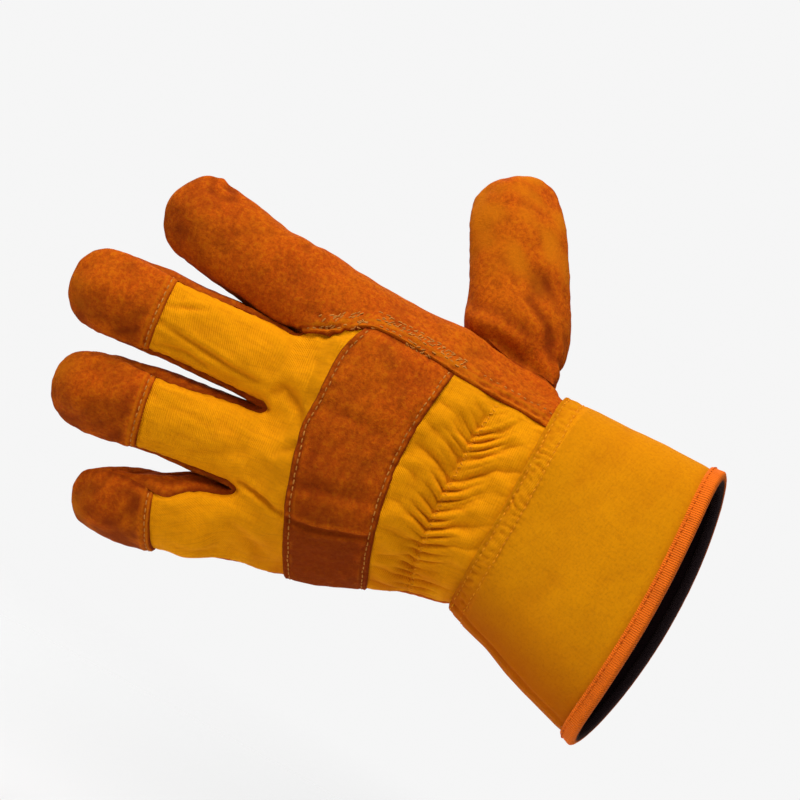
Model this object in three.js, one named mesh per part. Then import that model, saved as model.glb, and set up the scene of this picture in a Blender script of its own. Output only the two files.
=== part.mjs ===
// A left-hand rigger work glove, in the shape it has on a hand, as an assembly of its cut and sewn pieces.
//
// Frame, in millimetres: the origin is the centre of the cuff's mouth, where the wrist goes in. -X runs along
// the hand to the fingertips, -Y is the side of the back of the hand, and +Z is the side of the thumb.
//
// The glove's skin is one smooth surface. A coarse net of four-sided faces goes round the cuff, the hand, the
// four fingers and the thumb, and Catmull-Clark subdivision smooths it. Each cut piece is the set of the net's
// faces that it covers, so neighbours meet edge to edge along their seams, and it is as thick as its material.
import * as THREE from "three";

// Cuff: a stiff flared tube, sewn over the end of the hand
const cuffLength = 71;
const cuffOverlap = 12;
const mouthWidth = 117;
const mouthDepth = 43;
const mouthBow = 6;
const wristWidth = 93;
const wristDepth = 45;
const wristRise = 9;

// The wrist is bent back: it turns on an arc that starts this far from the mouth
const wristBend = 15;
const bendStart = 60;
const bendRun = 40;

// Hand, from the cuff's edge to the roots of the fingers
const handLength = 104.5;
const knuckleWidth = 129;
const knuckleRise = -3.5;
const palmDepth = 56;
const webLength = 2;

// Fingers and thumb, from their roots to their tips
const indexLength = 73;
const indexWidth = 34;
const indexDepth = 27;
const middleLength = 94;
const middleWidth = 33;
const middleDepth = 28;
const ringLength = 85;
const ringWidth = 33;
const ringDepth = 28;
const littleLength = 64;
const littleWidth = 32;
const littleDepth = 27;
const thumbLength = 84;
const thumbWidth = 40;
const thumbDepth = 32;
const capLength = 41;
const littleCapLength = 36;
const thumbCapLength = 40;
const thumbMound = 4;

// Materials' thicknesses, and the play that neighbouring pieces keep
const leatherWall = 1.6;
const clothWall = 1.2;
const cuffWall = 1.6;
const liningWall = 1;
const bindingWall = 0.9;
const bindingReach = 6;
const play = 0.3;
const leatherProud = 0.4;

// Gathers that the elastic draws into the cloth at the wrist
const pleatCount = 8;
const pleatHeight = 1.3;
const puffHeight = 1.5;

// How the hand's section is spread over its width, from the thumb's edge to the little finger's. at is the
// share of the width, and the other columns are shares of the section's height on the back and in the palm.
const acrossHand = [
  { at: 0.045, back: 0.42, palm: 0.56, knuckleBack: 0.62, knucklePalm: 0.66 },
  { at: 0.135, back: 0.78, palm: 0.88, knuckleBack: 1.0, knucklePalm: 1.0 },
  { at: 0.255, back: 0.96, palm: 1.0, knuckleBack: 0.74, knucklePalm: 0.76 },
  { at: 0.38, back: 1.02, palm: 0.97, knuckleBack: 1.08, knucklePalm: 1.0 },
  { at: 0.514, back: 1.02, palm: 0.93, knuckleBack: 0.78, knucklePalm: 0.76 },
  { at: 0.645, back: 0.98, palm: 0.93, knuckleBack: 1.0, knucklePalm: 1.02 },
  { at: 0.778, back: 0.84, palm: 0.96, knuckleBack: 0.62, knucklePalm: 0.86 },
  { at: 0.88, back: 0.46, palm: 0.94, knuckleBack: 0.62, knucklePalm: 1.14 },
  { at: 0.955, back: 0.05, palm: 0.78, knuckleBack: 0.1, knucklePalm: 0.95 },
];
const thumbEdgeDrop = 0.12;
const littleEdgeDrop = 0.36;
const roundness = 2.2;

// Rings of the cuff, as shares of its length from the mouth. hand is how far the section has gone from the
// cuff's oval to the hand's own section.
const cuffRings = [
  { name: "mouth", along: 0, hand: 0 },
  { name: "flare", along: 0.42, hand: 0.15 },
  { name: "hem", along: 1 - cuffOverlap / cuffLength, hand: 0.4 },
];

// Rings of the hand, as shares of its length. lean and bow set the ring's far edge and middle off along the
// hand, spread is the share from the wrist's width to the knuckles', back and palm are shares of the depth.
const handRings = [
  { name: "cuffEdge", along: 0, lean: 0.005, bow: -0.04, spread: 0,
    hand: 0.55, knuckle: 0, back: 0.49, palm: 0.51 },
  { name: "thumbNear", along: 0.07, lean: 0.02, bow: 0, spread: 0.05,
    hand: 0.75, knuckle: 0, back: 0.47, palm: 0.55 },
  { name: "elastic", along: 0.21, lean: 0.045, bow: 0.03, spread: 0.16,
    hand: 0.95, knuckle: 0, back: 0.46, palm: 0.6 },
  { name: "strapNear", along: 0.38, lean: 0.08, bow: 0.07, spread: 0.36,
    hand: 1, knuckle: 0, back: 0.5, palm: 0.62 },
  { name: "strapFar", along: 0.74, lean: 0.14, bow: 0.03, spread: 0.75,
    hand: 1, knuckle: 0, back: 0.48, palm: 0.49 },
  { name: "knuckle", along: 0.885, lean: 0.135, bow: 0, spread: 0.87,
    hand: 1, knuckle: 0.45, back: 0.41, palm: 0.385 },
  { name: "crotch", along: 1, lean: 0.134, bow: 0, spread: 1,
    hand: 1, knuckle: 1, back: 0.3, palm: 0.27 },
];
const leanCurve = 2.5;

// On the knuckle ring two of the back's columns are pulled aside, so that the seam runs straight to the first web
const seamPull = [
  { column: 1, share: 0.055, back: 3 },
  { column: 2, share: -0.035, back: -2 },
];

// Fingers in their order over the knuckles. Angles in degrees: yaw lifts the root towards the thumb's side and
// pitch sinks it towards the palm, sway and curl are what the finger adds to them by its tip, and roll turns
// its back towards the little finger's side.
const fingers = [
  {
    name: "index", length: indexLength, width: indexWidth, depth: indexDepth, cap: capLength,
    yaw: 1, pitch: 4, sway: 12, curl: 6, roll: 0,
  },
  {
    name: "middle", length: middleLength, width: middleWidth, depth: middleDepth, cap: capLength,
    yaw: -3, pitch: -2, sway: -5, curl: 10, roll: 6,
  },
  {
    name: "ring", length: ringLength, width: ringWidth, depth: ringDepth, cap: capLength,
    yaw: -5, pitch: -2, sway: -12, curl: 14, roll: 16,
  },
  {
    name: "little", length: littleLength, width: littleWidth, depth: littleDepth, cap: littleCapLength,
    yaw: -23, pitch: 2, sway: 4, curl: 16, roll: 36,
  },
];
const thumb = {
  name: "thumb", length: thumbLength, width: thumbWidth, depth: thumbDepth, cap: thumbCapLength,
  yaw: 71, pitch: 14, sway: -18, curl: 4, roll: 0,
};

// Sections of a finger. stem is the share of the way from its root to the seam of the fingertip's cap, and cap
// the share from that seam to the tip. width and depth are shares of the finger's own, and side is how much of
// the depth the side strip takes: it narrows to the tip.
const fingerSections = [
  { stem: 0.38, cap: 0, width: 1, depth: 1.04, side: 0.7 },
  { stem: 0.7, cap: 0, width: 0.98, depth: 1, side: 0.7 },
  { stem: 1, cap: 0, width: 0.99, depth: 0.96, side: 0.66 },
  { stem: 1, cap: 0.52, width: 1.02, depth: 0.88, side: 0.5 },
  { stem: 1, cap: 0.87, width: 0.8, depth: 0.58, side: 0.3 },
];
const thumbSections = [
  { stem: 0.36, cap: 0, width: 0.98, depth: 1, side: 0.7 },
  { stem: 0.7, cap: 0, width: 0.98, depth: 0.98, side: 0.7 },
  { stem: 1, cap: 0, width: 0.98, depth: 0.94, side: 0.66 },
  { stem: 1, cap: 0.52, width: 0.96, depth: 0.86, side: 0.5 },
  { stem: 1, cap: 0.87, width: 0.76, depth: 0.58, side: 0.3 },
];
const cornerSpread = 0.8;

// By this share of its length a finger has turned by its whole roll
const rollReach = 0.4;

// Places round a ring of the hand: the thumb's edge, nine on the back, the little finger's edge, nine in the palm
const columns = acrossHand.length;
const around = 2 * columns + 2;
const thumbEdge = 0;
const littleEdge = columns + 1;
const backColumn = (k) => 1 + k;
const palmColumn = (k) => around - 1 - k;
const seamColumn = backColumn(1);

const mix = THREE.MathUtils.lerp;
const rad = THREE.MathUtils.degToRad;
const rings = [...cuffRings, ...handRings];
const ringAt = Object.fromEntries(rings.map((ring, j) => [ring.name, j]));

// Width, rise, height and station of a ring
function ringSize(ring) {
  const onCuff = cuffRings.includes(ring);
  const share = onCuff ? ring.along : ring.spread;
  const [nearWidth, farWidth] = onCuff ? [mouthWidth, wristWidth] : [wristWidth, knuckleWidth];
  const [nearDepth, farDepth] = onCuff ? [mouthDepth, wristDepth] : [wristDepth, palmDepth];
  const [nearRise, farRise] = onCuff ? [0, wristRise] : [wristRise, knuckleRise];
  const depth = mix(nearDepth, farDepth, share);
  return {
    width: mix(nearWidth, farWidth, share),
    rise: mix(nearRise, farRise, share),
    back: depth * (onCuff ? 0.5 : ring.back),
    palm: depth * (onCuff ? 0.5 : ring.palm),
    start: onCuff ? -ring.along * cuffLength : -cuffLength - ring.along * handLength,
    lean: onCuff ? 0 : ring.lean * handLength,
    bow: onCuff ? -mouthBow * (1 - ring.along) : ring.bow * handLength,
    hand: ring.hand,
    knuckle: onCuff ? 0 : ring.knuckle,
  };
}

// A place on a ring, by its share of the width and its height over the glove's middle plane
function ringPoint(size, at, height) {
  const x = size.start + size.lean * at ** leanCurve - size.bow * 4 * at * (1 - at);
  return new THREE.Vector3(x, height, size.rise + size.width * (0.5 - at));
}

function ringPoints(ring) {
  const size = ringSize(ring);
  const oval = (at) => (1 - Math.abs(2 * at - 1) ** roundness) ** (1 / roundness);
  const back = acrossHand.map((row, k) => {
    const shape = mix(mix(oval(row.at), row.back, size.hand), row.knuckleBack, size.knuckle);
    const pull = ring.name === "knuckle" && seamPull.find((p) => p.column === k);
    const point = ringPoint(size, row.at + (pull ? pull.share : 0), -size.back * shape);
    if (pull) point.x += pull.back;
    return point;
  });
  const palm = acrossHand.map((row) => {
    const shape = mix(mix(oval(row.at), row.palm, size.hand), row.knucklePalm, size.knuckle);
    return ringPoint(size, row.at, size.palm * shape);
  });
  const nearEdge = ringPoint(size, 0, size.palm * thumbEdgeDrop * size.hand);
  const farEdge = ringPoint(size, 1, size.palm * littleEdgeDrop * size.hand);
  return [nearEdge, ...back, farEdge, ...palm.reverse()];
}

// The net: points, and faces that run outwards. spots hold each point's column and ring on the hand.
const net = { points: [], spots: [], faces: [] };

function addPoint(point, spot = [NaN, NaN]) {
  net.points.push(point);
  net.spots.push(spot);
  return net.points.length - 1;
}

function addFace(corners, limb, band, side) {
  net.faces.push({ corners, limb, band, side });
}

const handNet = rings.map((ring, j) => ringPoints(ring).map((point, i) => addPoint(point, [i, j])));
const inThumbHole = (band, side) =>
  (band === ringAt.thumbNear || band === ringAt.elastic) && (side === palmColumn(0) || side === palmColumn(1));
for (let band = 0; band < ringAt.crotch; band++)
  for (let side = 0; side < around; side++) {
    if (inThumbHole(band, side)) continue;
    const next = (side + 1) % around;
    const [near, far] = [handNet[band], handNet[band + 1]];
    addFace([near[side], far[side], far[next], near[next]], "hand", band, side);
  }

// A finger or the thumb on its root, a ring of eight places: three on the back, one on the far side, three in
// front and one on the near side
function addLimb(limb, sections, root) {
  const points = root.map((index) => net.points[index]);
  const place = points.reduce((sum, p) => sum.add(p), new THREE.Vector3()).divideScalar(root.length);
  let before = root;
  let reached = 0;
  const heading = (share) => {
    const yaw = rad(limb.yaw + limb.sway * share);
    const pitch = rad(limb.pitch + limb.curl * share);
    return new THREE.Vector3(-Math.cos(yaw) * Math.cos(pitch), Math.sin(pitch), Math.sin(yaw) * Math.cos(pitch));
  };
  sections.forEach((section, band) => {
    const capShare = limb.cap / limb.length;
    const share = section.stem * (1 - capShare) + section.cap * capShare;
    place.addScaledVector(heading((share + reached) / 2), (share - reached) * limb.length);
    reached = share;
    const run = heading(share);
    const plainBack = new THREE.Vector3(0, -1, 0).addScaledVector(run, run.y).normalize();
    const plainSide = plainBack.clone().cross(run);
    const roll = rad(limb.roll) * Math.min(1, share / rollReach);
    const back = plainBack.clone().multiplyScalar(Math.cos(roll)).addScaledVector(plainSide, Math.sin(roll));
    const side = back.clone().cross(run);
    const [width, depth] = [(limb.width * section.width) / 2, (limb.depth * section.depth) / 2];
    const at = (across, up) =>
      addPoint(place.clone().addScaledVector(side, across * width).addScaledVector(back, up * depth));
    const [wide, tall] = [cornerSpread, section.side];
    const ring = [
      at(-wide, tall), at(0, 1), at(wide, tall), at(1, 0),
      at(wide, -tall), at(0, -1), at(-wide, -tall), at(-1, 0),
    ];
    ring.forEach((index, i) => {
      const next = (i + 1) % ring.length;
      addFace([before[i], index, ring[next], before[next]], limb.name, band, i);
    });
    before = ring;
  });
  const tip = addPoint(place.clone().addScaledVector(heading(1), (1 - reached) * limb.length));
  for (let i = 0; i < before.length; i += 2) {
    const corners = [before[i + 1], before[i], before[(i + 7) % 8], tip];
    addFace(corners, limb.name, sections.length, i);
  }
}

// Between two fingers their side strips meet on a short line through the hand's thickness
const crotch = handNet[ringAt.crotch];
const middles = [crotch[thumbEdge]];
for (let gap = 1; gap < fingers.length; gap++) {
  const [back, palm] = [crotch[backColumn(2 * gap)], crotch[palmColumn(2 * gap)]];
  const middle = net.points[back].clone().add(net.points[palm]).multiplyScalar(0.5);
  middles.push(addPoint(middle.add(new THREE.Vector3(webLength, 0, 0))));
}
middles.push(crotch[littleEdge]);
fingers.forEach((finger, f) => {
  const back = [0, 1, 2].map((k) => crotch[backColumn(2 * f + k)]);
  const palm = [2, 1, 0].map((k) => crotch[palmColumn(2 * f + k)]);
  addLimb(finger, fingerSections, [...back, middles[f + 1], ...palm, middles[f]]);
});
const [nearRing, middleRing, farRing] = ["thumbNear", "elastic", "strapNear"].map((name) => handNet[ringAt[name]]);
const [hole, heel] = [palmColumn(0), palmColumn(1)];
const thumbRoot = [
  nearRing[thumbEdge], middleRing[thumbEdge], farRing[thumbEdge], farRing[hole],
  farRing[heel], middleRing[heel], nearRing[heel], nearRing[hole],
];
const towardsThumb = new THREE.Vector3(0, Math.sin(rad(thumb.pitch)), Math.cos(rad(thumb.pitch)));
thumbRoot.forEach((index) => net.points[index].addScaledVector(towardsThumb, thumbMound));
addLimb(thumb, thumbSections, thumbRoot);

// Each point's faces and neighbours, and each edge's faces
function relations(mesh) {
  const edges = new Map();
  const nodes = mesh.points.map(() => ({ faces: [], near: new Set(), rim: [] }));
  mesh.faces.forEach((face, f) =>
    face.corners.forEach((a, i) => {
      const b = face.corners[(i + 1) % face.corners.length];
      const key = edgeKey(a, b);
      if (!edges.has(key)) edges.set(key, { a, b, faces: [] });
      edges.get(key).faces.push(f);
      nodes[a].faces.push(f);
      nodes[a].near.add(b);
      nodes[b].near.add(a);
    }),
  );
  for (const { a, b, faces } of edges.values())
    if (faces.length === 1) {
      nodes[a].rim.push(b);
      nodes[b].rim.push(a);
    }
  return { edges, nodes };
}

function edgeKey(a, b) {
  return Math.min(a, b) + "_" + Math.max(a, b);
}

function average(points) {
  const sum = new THREE.Vector3();
  points.forEach((p) => sum.add(p));
  return sum.divideScalar(points.length);
}

const halfway = (spots) => [0, 1].map((i) => spots.reduce((sum, s) => sum + s[i], 0) / spots.length);

// One step of Catmull-Clark. The old points keep their numbers, so a coarse face can be named in the finer mesh.
function subdivide(mesh) {
  const { edges, nodes } = relations(mesh);
  const { points, spots } = mesh;
  const centres = mesh.faces.map((face) => average(face.corners.map((i) => points[i])));
  const made = { points: [], spots: [...spots], faces: [], edgePoints: new Map() };
  nodes.forEach((node, i) => {
    if (node.rim.length) {
      const rim = average(node.rim.map((j) => points[j]));
      made.points.push(points[i].clone().multiplyScalar(0.75).addScaledVector(rim, 0.25));
      return;
    }
    const n = node.near.size;
    const faceMean = average(node.faces.map((f) => centres[f]));
    const edgeMean = average([...node.near].map((j) => average([points[i], points[j]])));
    const sum = faceMean.addScaledVector(edgeMean, 2).addScaledVector(points[i], n - 3);
    made.points.push(sum.divideScalar(n));
  });
  for (const [key, { a, b, faces }] of edges) {
    const ends = [points[a], points[b]];
    made.edgePoints.set(key, made.points.length);
    made.points.push(faces.length === 2 ? average([...ends, centres[faces[0]], centres[faces[1]]]) : average(ends));
    made.spots.push(halfway([spots[a], spots[b]]));
  }
  mesh.faces.forEach((face, f) => {
    const centre = made.points.push(centres[f]) - 1;
    made.spots.push(halfway(face.corners.map((i) => spots[i])));
    face.corners.forEach((corner, i) => {
      const count = face.corners.length;
      const after = made.edgePoints.get(edgeKey(corner, face.corners[(i + 1) % count]));
      const before = made.edgePoints.get(edgeKey(face.corners[(i + count - 1) % count], corner));
      made.faces.push({ ...face, corners: [corner, after, centre, before], parent: f });
    });
  });
  return made;
}

// Where each point of a mesh of four-sided faces lies on the smooth surface
function limitPoints(mesh) {
  const { nodes } = relations(mesh);
  return mesh.points.map((point, i) => {
    const node = nodes[i];
    if (node.rim.length) {
      const [before, after] = node.rim.map((j) => mesh.points[j]);
      return point.clone().multiplyScalar(4).add(before).add(after).divideScalar(6);
    }
    const n = node.near.size;
    const sum = point.clone().multiplyScalar(n * n);
    node.near.forEach((j) => sum.addScaledVector(mesh.points[j], 4));
    node.faces.forEach((f) => {
      const { corners } = mesh.faces[f];
      sum.add(mesh.points[corners[(corners.indexOf(i) + 2) % 4]]);
    });
    return sum.divideScalar(n * (n + 5));
  });
}

// The straight net, bent back at the wrist
function bent(point) {
  const turn = rad(wristBend);
  const radius = bendRun / turn;
  const beyond = -point.x - bendStart;
  if (beyond <= 0) return point.clone();
  const angle = Math.min(turn, beyond / radius);
  const rest = Math.max(0, beyond - bendRun);
  return new THREE.Vector3(
    -bendStart - (radius + point.y) * Math.sin(angle) - rest * Math.cos(angle),
    -radius + (radius + point.y) * Math.cos(angle) - rest * Math.sin(angle),
    point.z,
  );
}
net.points = net.points.map(bent);

// Moves the net out until the smooth surface passes through the sections that the tables give
const fitRounds = 6;
const wanted = net.points.map((p) => p.clone());
for (let round = 0; round < fitRounds; round++) {
  const reached = limitPoints(net);
  net.points.forEach((p, i) => p.add(wanted[i]).sub(reached[i]));
}

const coarse = subdivide(net);
const fine = subdivide(coarse);
fine.points = limitPoints(fine);

function pointNormals(points, faces) {
  const normals = points.map(() => new THREE.Vector3());
  faces.forEach(({ corners }) => {
    const [a, b, c, d] = corners.map((i) => points[i]);
    const normal = c.clone().sub(a).cross(d.clone().sub(b));
    corners.forEach((i) => normals[i].add(normal));
  });
  return normals.map((n) => n.normalize());
}
const plainNormals = pointNormals(fine.points, fine.faces);

// Gathers: small pleats that are deepest on the elastic, and a few broad puffs between it and the cuff's edge
const gathered = (column, ring) =>
  column > seamColumn && column < littleEdge && ring > ringAt.cuffEdge && ring < ringAt.strapNear;
fine.points.forEach((point, i) => {
  const [column, ring] = fine.spots[i];
  if (!gathered(column, ring)) return;
  const across = (column - seamColumn) / (littleEdge - seamColumn);
  const along = ring - ringAt.elastic;
  const reach = along > 0 ? ringAt.strapNear - ringAt.elastic : ringAt.elastic - ringAt.cuffEdge;
  const away = Math.abs(along) / reach;
  const pleat = pleatHeight * Math.cos(2 * Math.PI * pleatCount * across) * (1 - away ** 2);
  const puff = puffHeight * (Math.sin(Math.PI * away) - Math.cos((Math.PI / 2) * away) ** 2);
  point.addScaledVector(plainNormals[i], pleat + puff);
});
const normals = pointNormals(fine.points, fine.faces);

// The faces of a piece, as lists of the fine mesh's points. Where refined says so, a coarse face is replaced by
// its four fine ones, and a coarse face beside one of those takes in the point on their common edge.
const onHand = (face, nearRing, farRing, firstSide, lastSide) =>
  face.limb === "hand" && face.band >= ringAt[nearRing] && face.band < ringAt[farRing] &&
  face.side >= firstSide && face.side < lastSide;
const inGathers = (face) => onHand(face, "cuffEdge", "strapNear", seamColumn, littleEdge);
const refinedEdges = new Set();
for (const face of coarse.faces)
  if (inGathers(face)) face.corners.forEach((a, i) => refinedEdges.add(edgeKey(a, face.corners[(i + 1) % 4])));

function patch(covers, refined = () => false) {
  const polygons = [];
  fine.faces.forEach((face) => {
    if (covers(face) && refined(face)) polygons.push(face.corners);
  });
  coarse.faces.forEach((face) => {
    if (!covers(face) || refined(face)) return;
    const polygon = [];
    face.corners.forEach((a, i) => {
      const key = edgeKey(a, face.corners[(i + 1) % 4]);
      polygon.push(a);
      if (refinedEdges.has(key)) polygon.push(fine.edgePoints.get(key));
    });
    polygons.push(polygon);
  });
  return polygons;
}

// A patch as a solid between two heights over the skin, drawn in from its own edge by half of the play
function layer(polygons, inner, outer) {
  const open = new Map();
  for (const polygon of polygons)
    polygon.forEach((a, i) => {
      const b = polygon[(i + 1) % polygon.length];
      if (!open.delete(b + ">" + a)) open.set(a + ">" + b, [a, b]);
    });
  const inward = new Map();
  for (const [a, b] of open.values()) {
    const run = fine.points[b].clone().sub(fine.points[a]);
    for (const end of [a, b]) {
      const across = normals[end].clone().cross(run).normalize();
      if (!inward.has(end)) inward.set(end, []);
      inward.get(end).push(across);
    }
  }
  const used = [...new Set(polygons.flat())];
  const slot = new Map(used.map((index, i) => [index, i]));
  const positions = [];
  for (const height of [outer, inner])
    for (const index of used) {
      const point = fine.points[index].clone().addScaledVector(normals[index], height);
      const sides = inward.get(index);
      if (sides) {
        const sum = sides.reduce((total, s) => total.add(s), new THREE.Vector3());
        point.addScaledVector(sum.normalize(), play / 2);
      }
      positions.push(point.x, point.y, point.z);
    }
  const under = used.length;
  const triangles = [];
  for (const polygon of polygons) {
    const ids = polygon.map((index) => slot.get(index));
    const start = polygon.length > 4 ? polygon.findIndex((index) => index >= coarse.points.length) : 0;
    for (let i = 1; i < ids.length - 1; i++) {
      const [a, b, c] = [0, i, i + 1].map((k) => ids[(start + k) % ids.length]);
      triangles.push(a, b, c, under + a, under + c, under + b);
    }
  }
  for (const [from, to] of open.values()) {
    const [a, b] = [slot.get(from), slot.get(to)];
    if (from < to) triangles.push(b, a, under + a, b, under + a, under + b);
    else triangles.push(b, a, under + b, a, under + a, under + b);
  }
  return new THREE.BufferGeometry()
    .setAttribute("position", new THREE.Float32BufferAttribute(positions, 3))
    .setIndex(triangles);
}

// Which base piece covers a face of the net. side counts round from the thumb's edge, and on a finger from the
// corner between its near side and its back.
const lastBand = fingerSections.length - 1;
const seamBand = fingerSections.findIndex((section) => section.stem === 1) + 1;

function basePiece({ limb, band, side }) {
  if (limb === "hand") {
    if (band < ringAt.hem) return "cuff_lining";
    const overKnuckle = band === ringAt.knuckle;
    if (side >= seamColumn && side < littleEdge)
      return overKnuckle && side === seamColumn ? "palm_leather" : "back_cloth";
    const middleTwo = side < palmColumn(2) && side >= palmColumn(6);
    return overKnuckle && middleTwo ? "middle_ring_front" : "palm_leather";
  }
  if (limb === "thumb") return side < 3 || side === 7 ? "thumb_back" : "thumb_front";
  const f = fingers.findIndex((finger) => finger.name === limb);
  const onSideStrip = band < lastBand && (side === 2 || side === 3);
  const onNearStrip = band < lastBand && side >= 6;
  if (onSideStrip && f < fingers.length - 1) return `fourchette_${limb}_${fingers[f + 1].name}`;
  if (onNearStrip && f > 0) return `fourchette_${fingers[f - 1].name}_${limb}`;
  if (limb === "index") return "palm_leather";
  const backSides = band > lastBand ? [0, 2] : band === lastBand ? [0, 1, 2, 7] : [0, 1, 2];
  if (backSides.includes(side)) return band < seamBand ? "back_cloth" : `${limb}_cap`;
  return limb === "little" ? "palm_leather" : "middle_ring_front";
}

const covers = (name) => (face) => basePiece(face) === name;

const suede = new THREE.MeshStandardMaterial({ name: "suede", color: 0xb8560c, roughness: 0.95, metalness: 0 });
const drill = new THREE.MeshStandardMaterial({ name: "drill", color: 0xdc9408, roughness: 0.85, metalness: 0 });
const canvas = new THREE.MeshStandardMaterial({ name: "canvas", color: 0xd28c0a, roughness: 0.75, metalness: 0 });
const lining = new THREE.MeshStandardMaterial({ name: "lining", color: 0x3c2226, roughness: 0.9, metalness: 0 });
const tape = new THREE.MeshStandardMaterial({ name: "tape", color: 0xe86a04, roughness: 0.7, metalness: 0 });

const glove = new THREE.Group();

function addPiece(name, geometry, material) {
  const mesh = new THREE.Mesh(geometry, material);
  mesh.name = name;
  glove.add(mesh);
}

const leatherPieces = [
  "palm_leather", "middle_ring_front", "thumb_back", "thumb_front", "middle_cap", "ring_cap", "little_cap",
  "fourchette_index_middle", "fourchette_middle_ring", "fourchette_ring_little",
];
for (const name of leatherPieces)
  addPiece(name, layer(patch(covers(name)), leatherProud - leatherWall, leatherProud), suede);

addPiece("back_cloth", layer(patch(covers("back_cloth"), inGathers), -clothWall, 0), drill);

const strapFaces = (face) => onHand(face, "strapNear", "strapFar", seamColumn, littleEdge);
addPiece("knuckle_strap", layer(patch(strapFaces), play, play + leatherWall), suede);

const patchFaces = (face) => onHand(face, "cuffEdge", "strapFar", littleEdge + 1, palmColumn(1));
const patchHeight = leatherProud + play;
addPiece("palm_patch", layer(patch(patchFaces), patchHeight, patchHeight + leatherWall), suede);

const cuffHeight = leatherProud + play;
const cuffFaces = (face) => onHand(face, "mouth", "cuffEdge", 0, around);
addPiece("cuff", layer(patch(cuffFaces), cuffHeight, cuffHeight + cuffWall), canvas);
const liningHeight = cuffHeight - play;
addPiece("cuff_lining", layer(patch(covers("cuff_lining")), liningHeight - liningWall, liningHeight), lining);

// The binding: a folded tape round the mouth's edge, swept with a U-shaped section
const rimLoop = (() => {
  const next = new Map();
  for (const face of coarse.faces) {
    if (!cuffFaces(face) || face.band !== ringAt.mouth) continue;
    face.corners.forEach((a, i) => {
      const b = face.corners[(i + 1) % 4];
      if (fine.spots[a][1] === ringAt.mouth && fine.spots[b][1] === ringAt.mouth) next.set(a, b);
    });
  }
  const loop = [next.keys().next().value];
  while (next.get(loop.at(-1)) !== loop[0]) loop.push(next.get(loop.at(-1)));
  return loop;
})();

function bindingGeometry() {
  const outside = cuffHeight + cuffWall + play;
  const inside = cuffHeight - play - liningWall - play;
  const edge = play;
  const section = [
    [outside, -bindingReach], [outside, edge], [inside, edge], [inside, -bindingReach],
    [inside - bindingWall, -bindingReach], [inside - bindingWall, edge + bindingWall / 2],
    [inside, edge + bindingWall], [outside, edge + bindingWall],
    [outside + bindingWall, edge + bindingWall / 2], [outside + bindingWall, -bindingReach],
  ];
  const positions = [];
  const triangles = [];
  rimLoop.forEach((index, i) => {
    const [before, after] = [rimLoop.at(i - 1), rimLoop[(i + 1) % rimLoop.length]];
    const run = fine.points[after].clone().sub(fine.points[before]).normalize();
    const normal = normals[index];
    const outOfMouth = run.clone().cross(normal).normalize();
    for (const [up, out] of section) {
      const p = fine.points[index].clone().addScaledVector(normal, up).addScaledVector(outOfMouth, out);
      positions.push(p.x, p.y, p.z);
    }
    const [here, there] = [i, (i + 1) % rimLoop.length].map((k) => k * section.length);
    section.forEach((_, k) => {
      const other = (k + 1) % section.length;
      triangles.push(here + k, there + k, there + other, here + k, there + other, here + other);
    });
  });
  return new THREE.BufferGeometry()
    .setAttribute("position", new THREE.Float32BufferAttribute(positions, 3))
    .setIndex(triangles);
}
addPiece("cuff_binding", bindingGeometry(), tape);

export default glove;
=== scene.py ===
"""A left rigger glove in its worn shape: suede, gathered cotton drill, a canvas cuff and their stitches."""
import math
from collections import namedtuple

import bpy
import numpy as np
from bpy.props import FloatProperty, FloatVectorProperty, IntProperty, PointerProperty
from mathutils import Matrix, Vector
from mathutils.bvhtree import BVHTree
from mathutils.kdtree import KDTree


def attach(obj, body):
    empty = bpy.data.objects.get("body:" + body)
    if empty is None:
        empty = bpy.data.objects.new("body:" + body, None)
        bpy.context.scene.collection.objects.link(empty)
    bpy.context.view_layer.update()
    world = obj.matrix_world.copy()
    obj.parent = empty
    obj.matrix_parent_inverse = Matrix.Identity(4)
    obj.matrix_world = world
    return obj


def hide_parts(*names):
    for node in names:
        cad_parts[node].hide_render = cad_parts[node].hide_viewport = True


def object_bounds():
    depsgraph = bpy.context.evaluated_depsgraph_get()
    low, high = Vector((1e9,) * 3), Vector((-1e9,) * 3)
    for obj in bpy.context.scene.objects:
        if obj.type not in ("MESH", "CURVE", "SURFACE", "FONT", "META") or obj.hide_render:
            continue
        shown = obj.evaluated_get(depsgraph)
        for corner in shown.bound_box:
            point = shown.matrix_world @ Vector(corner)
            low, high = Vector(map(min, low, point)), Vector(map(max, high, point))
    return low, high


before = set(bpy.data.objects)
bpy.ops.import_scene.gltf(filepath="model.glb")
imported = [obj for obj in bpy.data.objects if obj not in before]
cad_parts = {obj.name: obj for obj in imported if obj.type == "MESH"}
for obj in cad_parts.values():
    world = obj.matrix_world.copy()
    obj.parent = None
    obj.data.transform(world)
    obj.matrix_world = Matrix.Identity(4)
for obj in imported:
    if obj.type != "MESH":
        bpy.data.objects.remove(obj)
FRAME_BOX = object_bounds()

bl_info = {
    "name": "Rigger glove",
    "version": (1, 0, 0),
    "blender": (4, 5, 0),
    "location": "3D View > Sidebar > Glove",
    "description": "Sews a suede and cotton rigger glove over its frame",
    "category": "Add Mesh",
}

MM = 0.001

# The glove's form: one coarse net over the cuff, the hand, the fingers and the thumb

Across = namedtuple("Across", "at back palm knuckle_back knuckle_palm")
CuffRing = namedtuple("CuffRing", "name along hand")
HandRing = namedtuple("HandRing", "name along lean bow spread hand knuckle back palm")
Pull = namedtuple("Pull", "column share back")
Limb = namedtuple("Limb", "name yaw pitch sway curl roll")
Section = namedtuple("Section", "stem cap width depth side")
Face = namedtuple("Face", "corners limb band side grid weave")

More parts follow.
